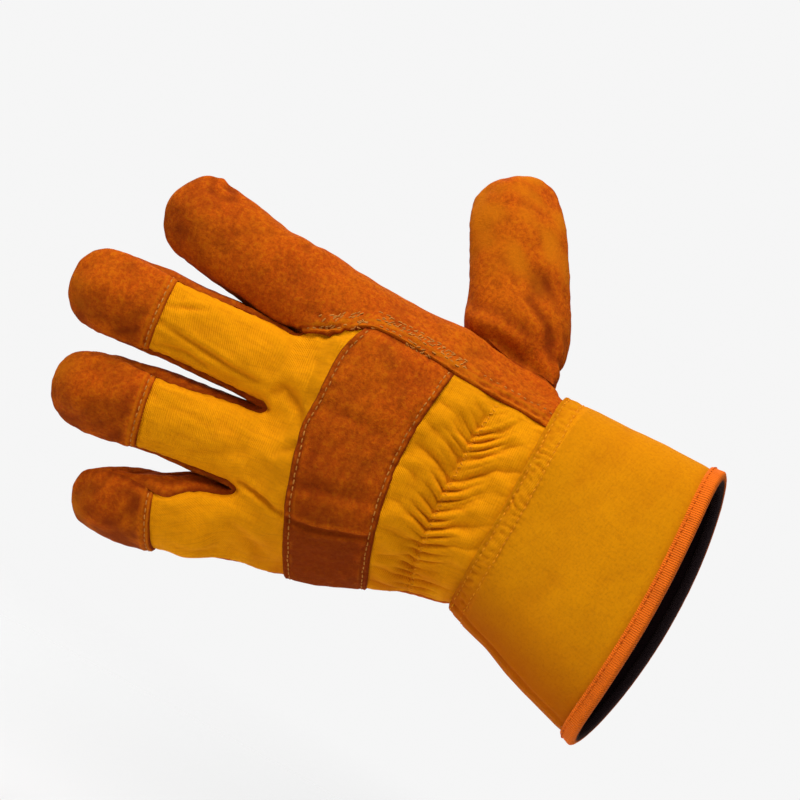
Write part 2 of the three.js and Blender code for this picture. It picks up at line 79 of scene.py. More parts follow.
# Shares of the hand's width from the thumb's edge to the little finger's, and heights on the back and palm
ACROSS_HAND = [
    Across(0.045, 0.42, 0.56, 0.62, 0.66),
    Across(0.135, 0.78, 0.88, 1.0, 1.0),
    Across(0.255, 0.96, 1.0, 0.74, 0.76),
    Across(0.38, 1.02, 0.97, 1.08, 1.0),
    Across(0.514, 1.02, 0.93, 0.78, 0.76),
    Across(0.645, 0.98, 0.93, 1.0, 1.02),
    Across(0.778, 0.84, 0.96, 0.62, 0.86),
    Across(0.88, 0.46, 0.94, 0.62, 1.14),
    Across(0.955, 0.05, 0.78, 0.1, 0.95),
]
# How far the hand's edges lie towards the palm, in shares of its height there, and the power of its oval
THUMB_EDGE_DROP = 0.12
LITTLE_EDGE_DROP = 0.36
ROUNDNESS = 2.2
# Sides of a finger's section, the power of a leaning ring's curve and how wide a section's corners lie
LIMB_SIDES = 8
LEAN_CURVE = 2.5
CORNER_SPREAD = 0.8

HAND_RINGS = [
    HandRing("cuff_edge", 0, 0.005, -0.04, 0, 0.55, 0, 0.49, 0.51),
    HandRing("thumb_near", 0.07, 0.02, 0, 0.05, 0.75, 0, 0.47, 0.55),
    HandRing("elastic", 0.21, 0.045, 0.03, 0.16, 0.95, 0, 0.46, 0.6),
    HandRing("strap_near", 0.38, 0.08, 0.07, 0.36, 1, 0, 0.5, 0.62),
    HandRing("strap_far", 0.74, 0.14, 0.03, 0.75, 1, 0, 0.48, 0.49),
    HandRing("knuckle", 0.885, 0.135, 0, 0.87, 1, 0.45, 0.41, 0.385),
    HandRing("crotch", 1, 0.134, 0, 1, 1, 1, 0.3, 0.27),
]
# Two of the back's columns are pulled aside on the knuckle ring, so that the seam runs to the first web
SEAM_PULL = [Pull(1, 0.055, 3 * MM), Pull(2, -0.035, -2 * MM)]

FINGERS = [
    Limb("index", 1, 4, 12, 6, 0),
    Limb("middle", -3, -2, -5, 10, 6),
    Limb("ring", -5, -2, -12, 14, 16),
    Limb("little", -23, 2, 4, 16, 36),
]
THUMB = Limb("thumb", 71, 14, -18, 4, 0)
FINGER_SECTIONS = [
    Section(0.38, 0, 1, 1.04, 0.7),
    Section(0.7, 0, 0.98, 1, 0.7),
    Section(1, 0, 0.99, 0.96, 0.66),
    Section(1, 0.52, 1.02, 0.88, 0.5),
    Section(1, 0.87, 0.8, 0.58, 0.3),
]
THUMB_SECTIONS = [
    Section(0.36, 0, 0.98, 1, 0.7),
    Section(0.7, 0, 0.98, 0.98, 0.7),
    Section(1, 0, 0.98, 0.94, 0.66),
    Section(1, 0.52, 0.96, 0.86, 0.5),
    Section(1, 0.87, 0.76, 0.58, 0.3),
]
# How far the seams between the back and the strips lie down the fingers' sides, towards the thumb and away
# from it, as a share of the net's face there, and how near the strips run to a point at the fingertips
Slide = namedtuple("Slide", "near far")
SEAM_SLIDES = {
    "index": Slide(0, 0.6),
    "middle": Slide(0.42, 0.3),
    "ring": Slide(0.42, 0.3),
    "little": Slide(0.1, 0),
}
STRIP_POINT = 0.85
# Bands from the root where the strips are full and start to narrow, and past the last where they close
STRIP_FULL = 0.8
STRIP_NARROWS = 2.6
STRIP_CLOSES = 0.7
# How far the strap's far edge lies beyond its ring, by column, as a share of the net's face there
STRAP_SLIDE = ((1, 0), (2, 0.27), (5, 0.5), (7.4, 0.15), (10, 0))
# Rounds in which the net is fitted, and the share of a finger over which its roll comes in
FIT_ROUNDS = 6
ROLL_REACH = 0.4

RING_NAMES = ["mouth", "flare", "hem"] + [ring.name for ring in HAND_RINGS]
RING_AT = {name: j for j, name in enumerate(RING_NAMES)}
COLUMNS = len(ACROSS_HAND)
AROUND = 2 * COLUMNS + 2
THUMB_EDGE = 0
LITTLE_EDGE = COLUMNS + 1
MIDDLE_COLUMN = 1 + COLUMNS // 2


def back_column(k):
    return 1 + k


def palm_column(k):
    return AROUND - 1 - k


SEAM_COLUMN = back_column(1)
SEAM_BAND = next(i for i, section in enumerate(FINGER_SECTIONS) if section.stem == 1) + 1
LAST_BAND = len(FINGER_SECTIONS) - 1
LEATHER_NODES = [
    "palm_leather", "middle_ring_front", "thumb_back", "thumb_front", "middle_cap", "ring_cap", "little_cap"
]
FOURCHETTES = ["fourchette_index_middle", "fourchette_middle_ring", "fourchette_ring_little"]


def length(name, description, default):
    return FloatProperty(
        name=name, description=description, default=default, min=0, unit="LENGTH", precision=4
    )


def colour(name, description, default):
    return FloatVectorProperty(
        name=name, description=description, default=default, size=3, min=0, max=1, subtype="COLOR"
    )


class GloveCut(bpy.types.PropertyGroup):
    """Sizes that the glove's form is worked out from"""

    cuff_length: length("Cuff length", "From the mouth to the cuff's sewn edge", 71 * MM)
    cuff_overlap: length("Cuff overlap", "How far the cuff lies over the hand", 12 * MM)
    mouth_width: length("Mouth width", "Across the cuff's mouth", 117 * MM)
    mouth_depth: length("Mouth depth", "From the back to the palm at the mouth", 43 * MM)
    mouth_bow: length("Mouth bow", "How far the mouth's edge stands out in the middle of the back", 6 * MM)
    wrist_width: length("Wrist width", "Across the cuff's sewn edge", 93 * MM)
    wrist_depth: length("Wrist depth", "From the back to the palm at the wrist", 45 * MM)
    wrist_rise: length(
        "Wrist rise", "How far the wrist lies towards the thumb from the mouth's centre", 9 * MM
    )
    bend_start: length("Bend start", "Where the wrist starts to bend, from the mouth", 60 * MM)
    bend_run: length("Bend run", "Length of the wrist's bend", 40 * MM)
    wrist_bend: FloatProperty(
        name="Wrist bend",
        description="How far the wrist is bent back",
        default=math.radians(15),
        subtype="ANGLE",
    )
    hand_length: length("Hand length", "From the cuff's edge to the fingers' roots", 104.5 * MM)
    knuckle_width: length("Knuckle width", "Across the fingers' roots", 129 * MM)
    knuckle_drop: length(
        "Knuckle drop", "How far the knuckles' middle lies from the thumb's side", 3.5 * MM
    )
    palm_depth: length("Palm depth", "From the back to the palm over the knuckles", 56 * MM)
    web_length: length("Web length", "How far a web's middle lies back from its ends", 2 * MM)
    thumb_mound: length("Thumb mound", "How far the thumb's root stands up from the hand", 4 * MM)
    index_length: length("Index length", "Index finger, root to tip", 73 * MM)
    index_width: length("Index width", "Across the index finger", 34 * MM)
    index_depth: length("Index depth", "Through the index finger", 27 * MM)
    index_cap: length("Index tip", "Last stretch of the index finger", 41 * MM)
    middle_length: length("Middle length", "Middle finger, root to tip", 94 * MM)
    middle_width: length("Middle width", "Across the middle finger", 33 * MM)
    middle_depth: length("Middle depth", "Through the middle finger", 28 * MM)
    middle_cap: length("Middle cap", "Length of the middle fingertip's cap", 41 * MM)
    ring_length: length("Ring length", "Ring finger, root to tip", 85 * MM)
    ring_width: length("Ring width", "Across the ring finger", 33 * MM)
    ring_depth: length("Ring depth", "Through the ring finger", 28 * MM)
    ring_cap: length("Ring cap", "Length of the ring fingertip's cap", 41 * MM)
    little_length: length("Little length", "Little finger, root to tip", 64 * MM)
    little_width: length("Little width", "Across the little finger", 32 * MM)
    little_depth: length("Little depth", "Through the little finger", 27 * MM)
    little_cap: length("Little cap", "Length of the little fingertip's cap", 36 * MM)
    thumb_length: length("Thumb length", "Thumb, root to tip", 84 * MM)
    thumb_width: length("Thumb width", "Across the thumb", 40 * MM)
    thumb_depth: length("Thumb depth", "Through the thumb", 32 * MM)
    thumb_cap: length("Thumb tip", "Last stretch of the thumb", 40 * MM)


class GloveMake(bpy.types.PropertyGroup):
    """Thicknesses, gathers and stitches"""

    leather_wall: length("Leather", "Thickness of the suede", 1.6 * MM)
    cloth_wall: length("Cloth", "Thickness of the drill", 1.2 * MM)
    cuff_wall: length("Cuff cloth", "Thickness of the cuff's canvas", 1.6 * MM)
    play: length("Play", "Gap that the frame keeps between layers", 0.3 * MM)
    leather_proud: length("Leather proud", "How far the suede stands over the drill", 0.4 * MM)
    binding_reach: length("Binding reach", "Width of the binding on the cuff", 6 * MM)
    seam_depth: length("Seam depth", "Depth of a turned seam's groove", 1.5 * MM)
    seam_reach: length("Seam reach", "Half the width of a turned seam's groove", 1.9 * MM)
    stitch_inset: length("Stitch inset", "From a lapped edge to its row of stitches", 2.3 * MM)
    stitch_pitch: length("Stitch pitch", "From one stitch to the next", 2.8 * MM)
    stitch_length: length("Stitch length", "Length of one stitch", 2.2 * MM)
    thread_radius: length("Thread radius", "Radius of the sewing thread", 0.25 * MM)
    pleat_height: length("Pleat height", "Height of the gathers' small pleats", 1.25 * MM)
    puff_height: length("Puff height", "Height of the puffs beside the elastic", 1.5 * MM)
    pleat_count: IntProperty(name="Pleats", description="Small pleats across the back", default=24, min=3)
    skin_levels: IntProperty(
        name="Skin levels", description="Subdivisions of the leather's net", default=4, min=1, max=5
    )
    cloth_levels: IntProperty(
        name="Cloth levels", description="Subdivisions of the drill's net", default=5, min=1, max=6
    )


class GloveColours(bpy.types.PropertyGroup):
    """Base colours"""

    suede: colour("Suede", "Suede's main colour", (0.48, 0.064, 0.002))
    suede_dark: colour("Suede, dark", "Rubbed and shaded suede", (0.155, 0.017, 0.001))
    suede_gold: colour("Suede, worn", "Worn, lighter suede", (0.55, 0.145, 0.002))
    drill: colour("Drill", "The back's cotton drill", (0.84, 0.310, 0.001))
    canvas: colour("Canvas", "The cuff's canvas", (0.78, 0.290, 0.001))
    # The lining's near-black colour is partly its own dark cloth and partly painted shade inside the cuff
    lining: colour("Lining", "The cuff's dark inside", (0.016, 0.007, 0.009))
    tape: colour("Tape", "The mouth's binding", (0.88, 0.155, 0.002))
    thread: colour("Thread", "Sewing thread", (0.54, 0.21, 0.035))
    floor: colour("Floor", "Floor", (0.78, 0.78, 0.78))


def mix(a, b, share):
    return a + (b - a) * share


def unit(v):
    return v / np.linalg.norm(v)


def ring_size(cut, ring):
    on_cuff = isinstance(ring, CuffRing)
    share = ring.along if on_cuff else ring.spread
    mouth = (cut.mouth_width, cut.mouth_depth, 0)
    wrist = (cut.wrist_width, cut.wrist_depth, cut.wrist_rise)
    knuckles = (cut.knuckle_width, cut.palm_depth, -cut.knuckle_drop)
    near, far = (mouth, wrist) if on_cuff else (wrist, knuckles)
    width, depth, rise = (mix(a, b, share) for a, b in zip(near, far))
    return dict(
        width=width,
        rise=rise,
        back=depth * (0.5 if on_cuff else ring.back),
        palm=depth * (0.5 if on_cuff else ring.palm),
        start=-ring.along * cut.cuff_length if on_cuff else -cut.cuff_length - ring.along * cut.hand_length,
        lean=0 if on_cuff else ring.lean * cut.hand_length,
        bow=-cut.mouth_bow * (1 - ring.along) if on_cuff else ring.bow * cut.hand_length,
        hand=ring.hand,
        knuckle=0 if on_cuff else ring.knuckle,
    )


def ring_points(cut, ring):
    size = ring_size(cut, ring)

    def place(at, height):
        x = size["start"] + size["lean"] * at**LEAN_CURVE - size["bow"] * 4 * at * (1 - at)
        return [x, height, size["rise"] + size["width"] * (0.5 - at)]

    def shape(row, plain, knuckle):
        oval = (1 - abs(2 * row.at - 1) ** ROUNDNESS) ** (1 / ROUNDNESS)
        return mix(mix(oval, plain, size["hand"]), knuckle, size["knuckle"])

    back = []
    for k, row in enumerate(ACROSS_HAND):
        pull = next((p for p in SEAM_PULL if ring.name == "knuckle" and p.column == k), Pull(k, 0, 0))
        point = place(row.at + pull.share, -size["back"] * shape(row, row.back, row.knuckle_back))
        back.append([point[0] + pull.back, point[1], point[2]])
    palm = [place(row.at, size["palm"] * shape(row, row.palm, row.knuckle_palm)) for row in ACROSS_HAND]
    near_edge = place(0, size["palm"] * THUMB_EDGE_DROP * size["hand"])
    far_edge = place(1, size["palm"] * LITTLE_EDGE_DROP * size["hand"])
    return np.array([near_edge, *back, far_edge, *reversed(palm)])


def arc_marks(points, zero):
    """Lengths along a closed ring from one of its points, with the first point again at the end."""
    steps = np.linalg.norm(np.roll(points, -1, axis=0) - points, axis=1)
    marks = np.concatenate([[0], np.cumsum(steps)])
    return marks - marks[zero]


class Net:
    """The coarse net's points and faces. grid gives each corner's column and ring, or its place round and
    along a limb, and weave its place on the flat cloth in metres."""

    def __init__(self, cut):
        self.cut = cut
        self.points = []
        self.faces = []
        cuff_rings = [
            CuffRing("mouth", 0, 0),
            CuffRing("flare", 0.42, 0.15),
            CuffRing("hem", 1 - cut.cuff_overlap / cut.cuff_length, 0.4),
        ]
        rings = [ring_points(cut, ring) for ring in cuff_rings + HAND_RINGS]
        self.hand = [[self.point(p) for p in ring] for ring in rings]
        self.marks = [arc_marks(ring, MIDDLE_COLUMN) for ring in rings]
        self.sew_hand(rings)
        self.sew_fingers(rings)
        self.sew_thumb()
        self.bend()
        self.fit()

    def point(self, p):
        self.points.append(np.array(p, dtype=float))
        return len(self.points) - 1

    def sew_hand(self, rings):
        hole_bands = (RING_AT["thumb_near"], RING_AT["elastic"])
        hole_sides = (palm_column(0), palm_column(1))
        for band in range(RING_AT["crotch"]):
            for side in range(AROUND):
                if band in hole_bands and side in hole_sides:
                    continue
                near, far, after = self.hand[band], self.hand[band + 1], (side + 1) % AROUND
                spots = [(side, band), (side, band + 1), (side + 1, band + 1), (side + 1, band)]
                weave = [(self.marks[j][i], -rings[j][i % AROUND][0]) for i, j in spots]
                self.faces.append(
                    Face((near[side], far[side], far[after], near[after]), "hand", band, side, spots, weave)
                )

    def sew_fingers(self, rings):
        crotch = self.hand[RING_AT["crotch"]]
        middles = [crotch[THUMB_EDGE]]
        for gap in range(1, len(FINGERS)):
            ends = [self.points[crotch[column(2 * gap)]] for column in (back_column, palm_column)]
            middles.append(self.point((ends[0] + ends[1]) / 2 + [self.cut.web_length, 0, 0]))
        middles.append(crotch[LITTLE_EDGE])
        for f, finger in enumerate(FINGERS):
            back = [crotch[back_column(2 * f + k)] for k in (0, 1, 2)]
            palm = [crotch[palm_column(2 * f + k)] for k in (2, 1, 0)]
            mark = self.marks[RING_AT["crotch"]][back_column(2 * f + 1)]
            self.sew_limb(finger, FINGER_SECTIONS, [*back, middles[f + 1], *palm, middles[f]], mark)

    def sew_thumb(self):
        near, middle, far = (self.hand[RING_AT[name]] for name in ("thumb_near", "elastic", "strap_near"))
        hole, heel = palm_column(0), palm_column(1)
        root = [near[THUMB_EDGE], middle[THUMB_EDGE], far[THUMB_EDGE], far[hole]]
        root += [far[heel], middle[heel], near[heel], near[hole]]
        pitch = math.radians(THUMB.pitch)
        for index in root:
            self.points[index] += np.array([0, math.sin(pitch), math.cos(pitch)]) * self.cut.thumb_mound
        self.sew_limb(THUMB, THUMB_SECTIONS, root, 0)

    def sew_limb(self, limb, sections, root, mark):
        size = {key: getattr(self.cut, f"{limb.name}_{key}") for key in ("length", "width", "depth", "cap")}
        cap_share = size["cap"] / size["length"]
        place = np.mean([self.points[i] for i in root], axis=0)
        start = -place[0]
        before, before_marks, reached = root, arc_marks(np.array([self.points[i] for i in root]), 1), 0

        def heading(share):
            yaw = math.radians(limb.yaw + limb.sway * share)
            pitch = math.radians(limb.pitch + limb.curl * share)
            return np.array(
                [-math.cos(yaw) * math.cos(pitch), math.sin(pitch), math.sin(yaw) * math.cos(pitch)]
            )

        for band, section in enumerate(sections):
            share = section.stem * (1 - cap_share) + section.cap * cap_share
            place = place + heading((share + reached) / 2) * (share - reached) * size["length"]
            run = heading(share)
            plain_back = unit(np.array([0, -1.0, 0]) + run * run[1])
            plain_side = np.cross(plain_back, run)
            roll = math.radians(limb.roll) * min(1, share / ROLL_REACH)
            back = plain_back * math.cos(roll) + plain_side * math.sin(roll)
            side = np.cross(back, run)
            half_width, half_depth = size["width"] * section.width / 2, size["depth"] * section.depth / 2
            wide, tall = CORNER_SPREAD, section.side
            shape = [
                (-wide, tall), (0, 1), (wide, tall), (1, 0), (wide, -tall), (0, -1), (-wide, -tall), (-1, 0)
            ]
            points = np.array([place + side * a * half_width + back * u * half_depth for a, u in shape])
            ring = [self.point(p) for p in points]
            marks = arc_marks(points, 1)
            for i in range(LIMB_SIDES):
                after = (i + 1) % LIMB_SIDES
                spots = [(i, band), (i, band + 1), (i + 1, band + 1), (i + 1, band)]
                ends = (start + reached * size["length"], start + share * size["length"])
                flat = [(before_marks, i, 0), (marks, i, 1), (marks, i + 1, 1), (before_marks, i + 1, 0)]
                weave = [(mark + around[k], ends[end]) for around, k, end in flat]
                self.faces.append(
                    Face((before[i], ring[i], ring[after], before[after]), limb.name, band, i, spots, weave)
                )
            before, before_marks, reached = ring, marks, share
        tip = self.point(place + heading(1) * (1 - reached) * size["length"])
        band = len(sections)
        for i in range(0, LIMB_SIDES, 2):
            spots = [(i + 1, band), (i, band), (i - 1, band), (i, band + 1)]
            ends = (start + reached * size["length"], start + size["length"])
            weave = [(mark + before_marks[k % LIMB_SIDES], ends[0]) for k in (i + 1, i, i - 1)]
            weave.append((mark + before_marks[i], ends[1]))
            corners = (before[i + 1], before[i], before[i - 1], tip)
            self.faces.append(Face(corners, limb.name, band, i, spots, weave))

    def bend(self):
        """Bends the straight net back at the wrist."""
        cut = self.cut
        radius = cut.bend_run / cut.wrist_bend
        for i, (x, y, z) in enumerate(self.points):
            beyond = -x - cut.bend_start
            if beyond <= 0:
                continue
            angle, rest = min(cut.wrist_bend, beyond / radius), max(0, beyond - cut.bend_run)
            self.points[i] = np.array([
                -cut.bend_start - (radius + y) * math.sin(angle) - rest * math.cos(angle),
                -radius + (radius + y) * math.cos(angle) - rest * math.sin(angle),
                z,
            ])

    def fit(self):
        """Moves the net out until the smooth surface passes through the points that the tables give."""
        points = np.array(self.points)
        near = [set() for _ in points]
        diagonals = [[] for _ in points]
        uses = {}
        for face in self.faces:
            for i, a in enumerate(face.corners):
                b = face.corners[(i + 1) % 4]
                near[a].add(b)
                near[b].add(a)
                diagonals[a].append(face.corners[(i + 2) % 4])
                uses[frozenset((a, b))] = uses.get(frozenset((a, b)), 0) + 1
        rim = [[] for _ in points]
        for edge, count in uses.items():
            if count == 1:
                a, b = edge
                rim[a].append(b)
                rim[b].append(a)
        wanted = points.copy()
        for _ in range(FIT_ROUNDS):
            reached = np.empty_like(points)
            for i, p in enumerate(points):
                if rim[i]:
                    reached[i] = (4 * p + points[rim[i][0]] + points[rim[i][1]]) / 6
                elif not near[i]:
                    reached[i] = wanted[i]
                else:
                    n = len(near[i])
                    total = n * n * p + 4 * points[list(near[i])].sum(axis=0)
                    total = total + points[diagonals[i]].sum(axis=0)
                    reached[i] = total / (n * (n + 5))
            points = points + wanted - reached
        self.points = points


def on_hand(face, near_ring, far_ring, first_side, last_side):
    inside = RING_AT[near_ring] <= face.band < RING_AT[far_ring]
    return face.limb == "hand" and inside and first_side <= face.side < last_side


def base_piece(face):
    """The piece of the skin's lowest layer that covers a face of the net."""
    if face.limb == "hand":
        if face.band < RING_AT["hem"]:
            return "cuff_lining"
        over_knuckle = face.band == RING_AT["knuckle"]
        if SEAM_COLUMN <= face.side < LITTLE_EDGE:
            return "palm_leather" if over_knuckle and face.side == SEAM_COLUMN else "back_cloth"
        middle_two = palm_column(6) <= face.side < palm_column(2)
        return "middle_ring_front" if over_knuckle and middle_two else "palm_leather"
    if face.limb == "thumb":
        return "thumb_back" if face.side < 3 or face.side == 7 else "thumb_front"
    back_half = face.side < 4 if face.band > LAST_BAND else face.side < 3 or face.side == 7
    back = back_half if face.band >= LAST_BAND else face.side < 2
    far_side = face.band < LAST_BAND and face.side in (2, 3)
    near_side = face.band < LAST_BAND and face.side in (6, 7)
    names = [finger.name for finger in FINGERS]
    f = names.index(face.limb)
    if far_side and f < len(names) - 1:
        return f"fourchette_{names[f]}_{names[f + 1]}"
    if near_side and f > 0:
        return f"fourchette_{names[f - 1]}_{names[f]}"
    if face.limb == "index":
        return "palm_leather"
    if back or (far_side and face.side == 2):
        return "back_cloth" if face.band < SEAM_BAND else f"{face.limb}_cap"
    return "palm_leather" if face.limb == "little" else "middle_ring_front"


def is_strap(face):
    return on_hand(face, "strap_near", "strap_far", SEAM_COLUMN, LITTLE_EDGE)


def is_patch(face):
    return on_hand(face, "cuff_edge", "strap_far", LITTLE_EDGE + 1, palm_column(1))


def is_cuff(face):
    return on_hand(face, "mouth", "cuff_edge", 0, AROUND)


def seam_kind(piece, face, other):
    """How a piece's edge is made where its face meets another piece's: over and under at a lapped seam,
    turned at an inside-out one, and rim where nothing lies beyond."""
    if other is None:
        return "rim"
    beyond = base_piece(other)
    pair = {piece, beyond}
    if "cuff_lining" in pair:
        return "hidden"
    if "back_cloth" in pair:
        top = (pair - {"back_cloth"}).pop()
        leather_face = face if piece == top else other
        over_hand = leather_face.limb == "hand" and leather_face.side < LITTLE_EDGE
        if (top == "palm_leather" and over_hand) or top.endswith("_cap"):
            return "over" if piece == top else "under"
    return "turned"


# The smooth skin and the pieces cut from it


def array_of(collection, attribute, width, kind=np.float32):
    values = np.empty(len(collection) * width, dtype=kind)
    collection.foreach_get(attribute, values)
    return values.reshape(-1, width) if width > 1 else values


class Skin:
    """The net's smooth surface at one fineness, as arrays."""

    def __init__(self, net, levels):
        mesh = bpy.data.meshes.new("skin")
        mesh.from_pydata([tuple(p) for p in net.points], [], [face.corners for face in net.faces])
        for layer in ("grid", "weave"):
            spots = np.array([getattr(face, layer) for face in net.faces], dtype=np.float32)
            mesh.uv_layers.new(name=layer).uv.foreach_set("vector", spots.ravel())
        cage = np.arange(len(net.faces), dtype=np.int32)
        mesh.attributes.new("cage", "INT", "FACE").data.foreach_set("value", cage)
        body = bpy.data.objects.new("skin", mesh)
        bpy.context.scene.collection.objects.link(body)
        smooth = body.modifiers.new("smooth", "SUBSURF")
        smooth.levels = levels
        smooth.uv_smooth = "NONE"
        smooth.boundary_smooth = "ALL"
        smooth.use_limit_surface = True
        graph = bpy.context.evaluated_depsgraph_get()
        fine = body.evaluated_get(graph).to_mesh()
        self.faces = net.faces
        self.co = array_of(fine.vertices, "co", 3).astype(float)
        self.normal = array_of(fine.vertices, "normal", 3).astype(float)
        self.quads = array_of(fine.loops, "vertex_index", 1, np.int32).reshape(-1, 4)
        self.cage = array_of(fine.attributes["cage"].data, "value", 1, np.int32)
        self.grid = array_of(fine.uv_layers["grid"].uv, "vector", 2).reshape(-1, 4, 2)
        self.weave = array_of(fine.uv_layers["weave"].uv, "vector", 2).reshape(-1, 4, 2)
        bpy.data.objects.remove(body)
        bpy.data.meshes.remove(mesh)
        for limb, slide in SEAM_SLIDES.items():
            self.slide_seams(limb, slide, 2**levels)
        self.slide_strap(2**levels)
        starts, ends = self.quads.ravel(), np.roll(self.quads, -1, axis=1).ravel()
        keys = starts.astype(np.int64) * len(self.co) + ends
        self.edge_order = np.argsort(keys)
        self.edge_keys = keys[self.edge_order]

    def slide_seams(self, limb, slide, fine):
        """Slides a finger's points round it, so that the seams run where the table says and the strips
        between the fingers end in a point. fine is the number of points along each face of the net."""
        circle, bands = LIMB_SIDES * fine, len(FINGER_SECTIONS) * fine
        chosen = [face.limb == limb and face.band < len(FINGER_SECTIONS) for face in self.faces]
        on_limb = np.array(chosen)[self.cage]
        spots = np.rint(self.grid[on_limb].reshape(-1, 2) * fine).astype(int)
        table = np.zeros((bands + 1, circle), dtype=int)
        table[spots[:, 1], spots[:, 0] % circle] = self.quads[on_limb].ravel()
        along = np.arange(bands + 1) / fine
        around = np.arange(circle) / fine
        rooted, pointed = smoothstep(along, 0, STRIP_FULL), smoothstep(along, STRIP_NARROWS, LAST_BAND)
        left = 1 - smoothstep(along, LAST_BAND, LAST_BAND + STRIP_CLOSES)
        moved = np.tile(around, (bands + 1, 1))
        for seam, share, way in ((0, slide.near, -1), (6, 0, 1), (2, slide.far, 1), (4, 0, -1)):
            if not (slide.near if seam in (0, 6) else slide.far):
                continue
            half = LIMB_SIDES // 2
            tent = np.clip(1 - np.abs((around - seam + half) % LIMB_SIDES - half), 0, 1)
            reach = mix(share * rooted, STRIP_POINT, pointed) * left
            moved += way * reach[:, None] * tent
        moved *= fine
        low = np.floor(moved).astype(int)
        share = (moved - low)[..., None]
        rows = np.arange(bands + 1)[:, None]
        for values in (self.co, self.normal):
            ring = values[table]
            values[table] = mix(ring[rows, low % circle], ring[rows, (low + 1) % circle], share)

    def slide_strap(self, fine):
        """Slides the back's points along the hand, so that the strap's far edge follows its table."""
        first = RING_AT["strap_near"]
        chosen = [
            on_hand(face, "strap_near", "knuckle", THUMB_EDGE + 1, LITTLE_EDGE + 1) for face in self.faces
        ]
        on_back = np.array(chosen)[self.cage]
        spots = np.rint((self.grid[on_back].reshape(-1, 2) - (1, first)) * fine).astype(int)
        rows, columns = spots.max(axis=0)[1] + 1, spots.max(axis=0)[0] + 1
        table = np.zeros((rows, columns), dtype=int)
        table[spots[:, 1], spots[:, 0]] = self.quads[on_back].ravel()
        row, column = np.arange(rows)[:, None], np.arange(columns)[None]
        tent = 1 - np.abs(row / fine + first - RING_AT["strap_far"])
        moved = row + fine * tent * np.interp(column / fine + 1, *zip(*STRAP_SLIDE))
        low = np.floor(moved).astype(int)
        share = (moved - low)[..., None]
        for values in (self.co, self.normal):
            grid = values[table]
            values[table] = mix(grid[low, column], grid[np.minimum(low + 1, rows - 1), column], share)

    def face_beyond(self, a, b):
        """The face on the other side of a directed edge, or none at the rim."""
        key = int(b) * len(self.co) + int(a)
        spot = np.searchsorted(self.edge_keys, key)
        if spot == len(self.edge_keys) or self.edge_keys[spot] != key:
            return None
        return self.faces[self.cage[self.edge_order[spot] // 4]]


# From before the first ring to past the last
ALL_RINGS = (-1, 99)


class Patch:
    """The stretch of skin under one piece, and how far each point lies from each kind of its edges."""

    FAR = 0.05

    def __init__(self, skin, name, covers):
        chosen = np.array([covers(face) for face in skin.faces])
        inside = chosen[skin.cage]
        quads = skin.quads[inside]
        self.name = name
        self.source, flat = np.unique(quads, return_inverse=True)
        self.quads = flat.reshape(quads.shape)
        self.co = skin.co[self.source]
        self.normal = skin.normal[self.source]
        self.corner_weave = skin.weave[inside]
        self.grid = np.empty((len(self.co), 2))
        self.grid[self.quads.ravel()] = skin.grid[inside].reshape(-1, 2)
        self.weave = np.empty((len(self.co), 2))
        self.weave[self.quads.ravel()] = skin.weave[inside].reshape(-1, 2)
        limbs = np.array([face.limb for face in skin.faces])[skin.cage[inside]]
        self.limb = np.empty(len(self.co), dtype=limbs.dtype)
        self.limb[self.quads.ravel()] = np.repeat(limbs, 4)
        self.find_edges(skin, inside)

    def find_edges(self, skin, inside):
        starts = self.quads.ravel().astype(np.int64)
        ends = np.roll(self.quads, -1, axis=1).ravel().astype(np.int64)
        count = len(self.co)
        lonely = ~np.isin(starts * count + ends, ends * count + starts)
        self.edges = np.stack([starts[lonely], ends[lonely]], axis=1)
        cages = np.repeat(skin.cage[inside], 4)[lonely]
        self.kinds = np.array([
            seam_kind(self.name, skin.faces[cage], skin.face_beyond(*self.source[edge]))
            for edge, cage in zip(self.edges, cages)
        ])

    def distance(self, *kinds):
        """How far each point lies from the edges of these kinds."""
        edges = self.edges[np.isin(self.kinds, kinds)]
        if not len(edges):
            return np.full(len(self.co), self.FAR)
        a, b = self.co[edges[:, 0]], self.co[edges[:, 1]]
        marks = np.concatenate([a, mix(a, b, 1 / 3), mix(a, b, 2 / 3)])
        tree = KDTree(len(marks))
        for i, mark in enumerate(marks):
            tree.insert(mark, i)
        tree.balance()
        return np.array([tree.find(p)[2] for p in self.co])

    def tuck(self, where):
        """Marks the edges as lapped, and as tucked in where their middle's column and ring say so."""
        column, ring = self.grid[self.edges].mean(axis=1).T
        self.kinds = np.where(where(column, ring), "tucked", np.where(self.kinds == "rim", "rim", "over"))

    def chains(self, *kinds, rings=ALL_RINGS):
        """The edges of these kinds as ordered runs of points, between two rings."""
        ring = self.grid[self.edges, 1].mean(axis=1)
        edges = self.edges[np.isin(self.kinds, kinds) & (ring > rings[0]) & (ring < rings[1])]
        after = {a: b for a, b in edges}
        firsts = [a for a in after if a not in set(after.values())]
        runs = []
        while after:
            here = firsts.pop() if firsts else next(iter(after))
            run = [here]
            while run[-1] in after:
                run.append(after.pop(run[-1]))
            runs.append(np.array(run))
        return runs


class Waves:
    """A soft uneven field over space, from plane waves of about one pitch. It is the same on each run."""

    PEAK = 1.6

    def __init__(self, seed, pitch, count=16, stretch=(1, 1, 1)):
        chance = np.random.default_rng(seed)
        ways = chance.normal(size=(count, 3))
        ways /= np.linalg.norm(ways, axis=1)[:, None]
        rates = chance.uniform(0.6, 1.5, count)[:, None]
        self.ways = ways * (2 * math.pi / pitch) * rates / np.array(stretch)
        self.shifts = chance.uniform(0, 2 * math.pi, count)
        self.scale = math.sqrt(2 / count) / self.PEAK

    def __call__(self, co):
        return np.sin(co @ self.ways.T + self.shifts).sum(axis=1) * self.scale


def bump(distance, reach):
    return np.exp(-((distance / reach) ** 2))


def ridge(distance, at, height, reach):
    """A soft ridge that runs at a distance from an edge. Taken away, it is a groove."""
    return height * bump(distance - at, reach)


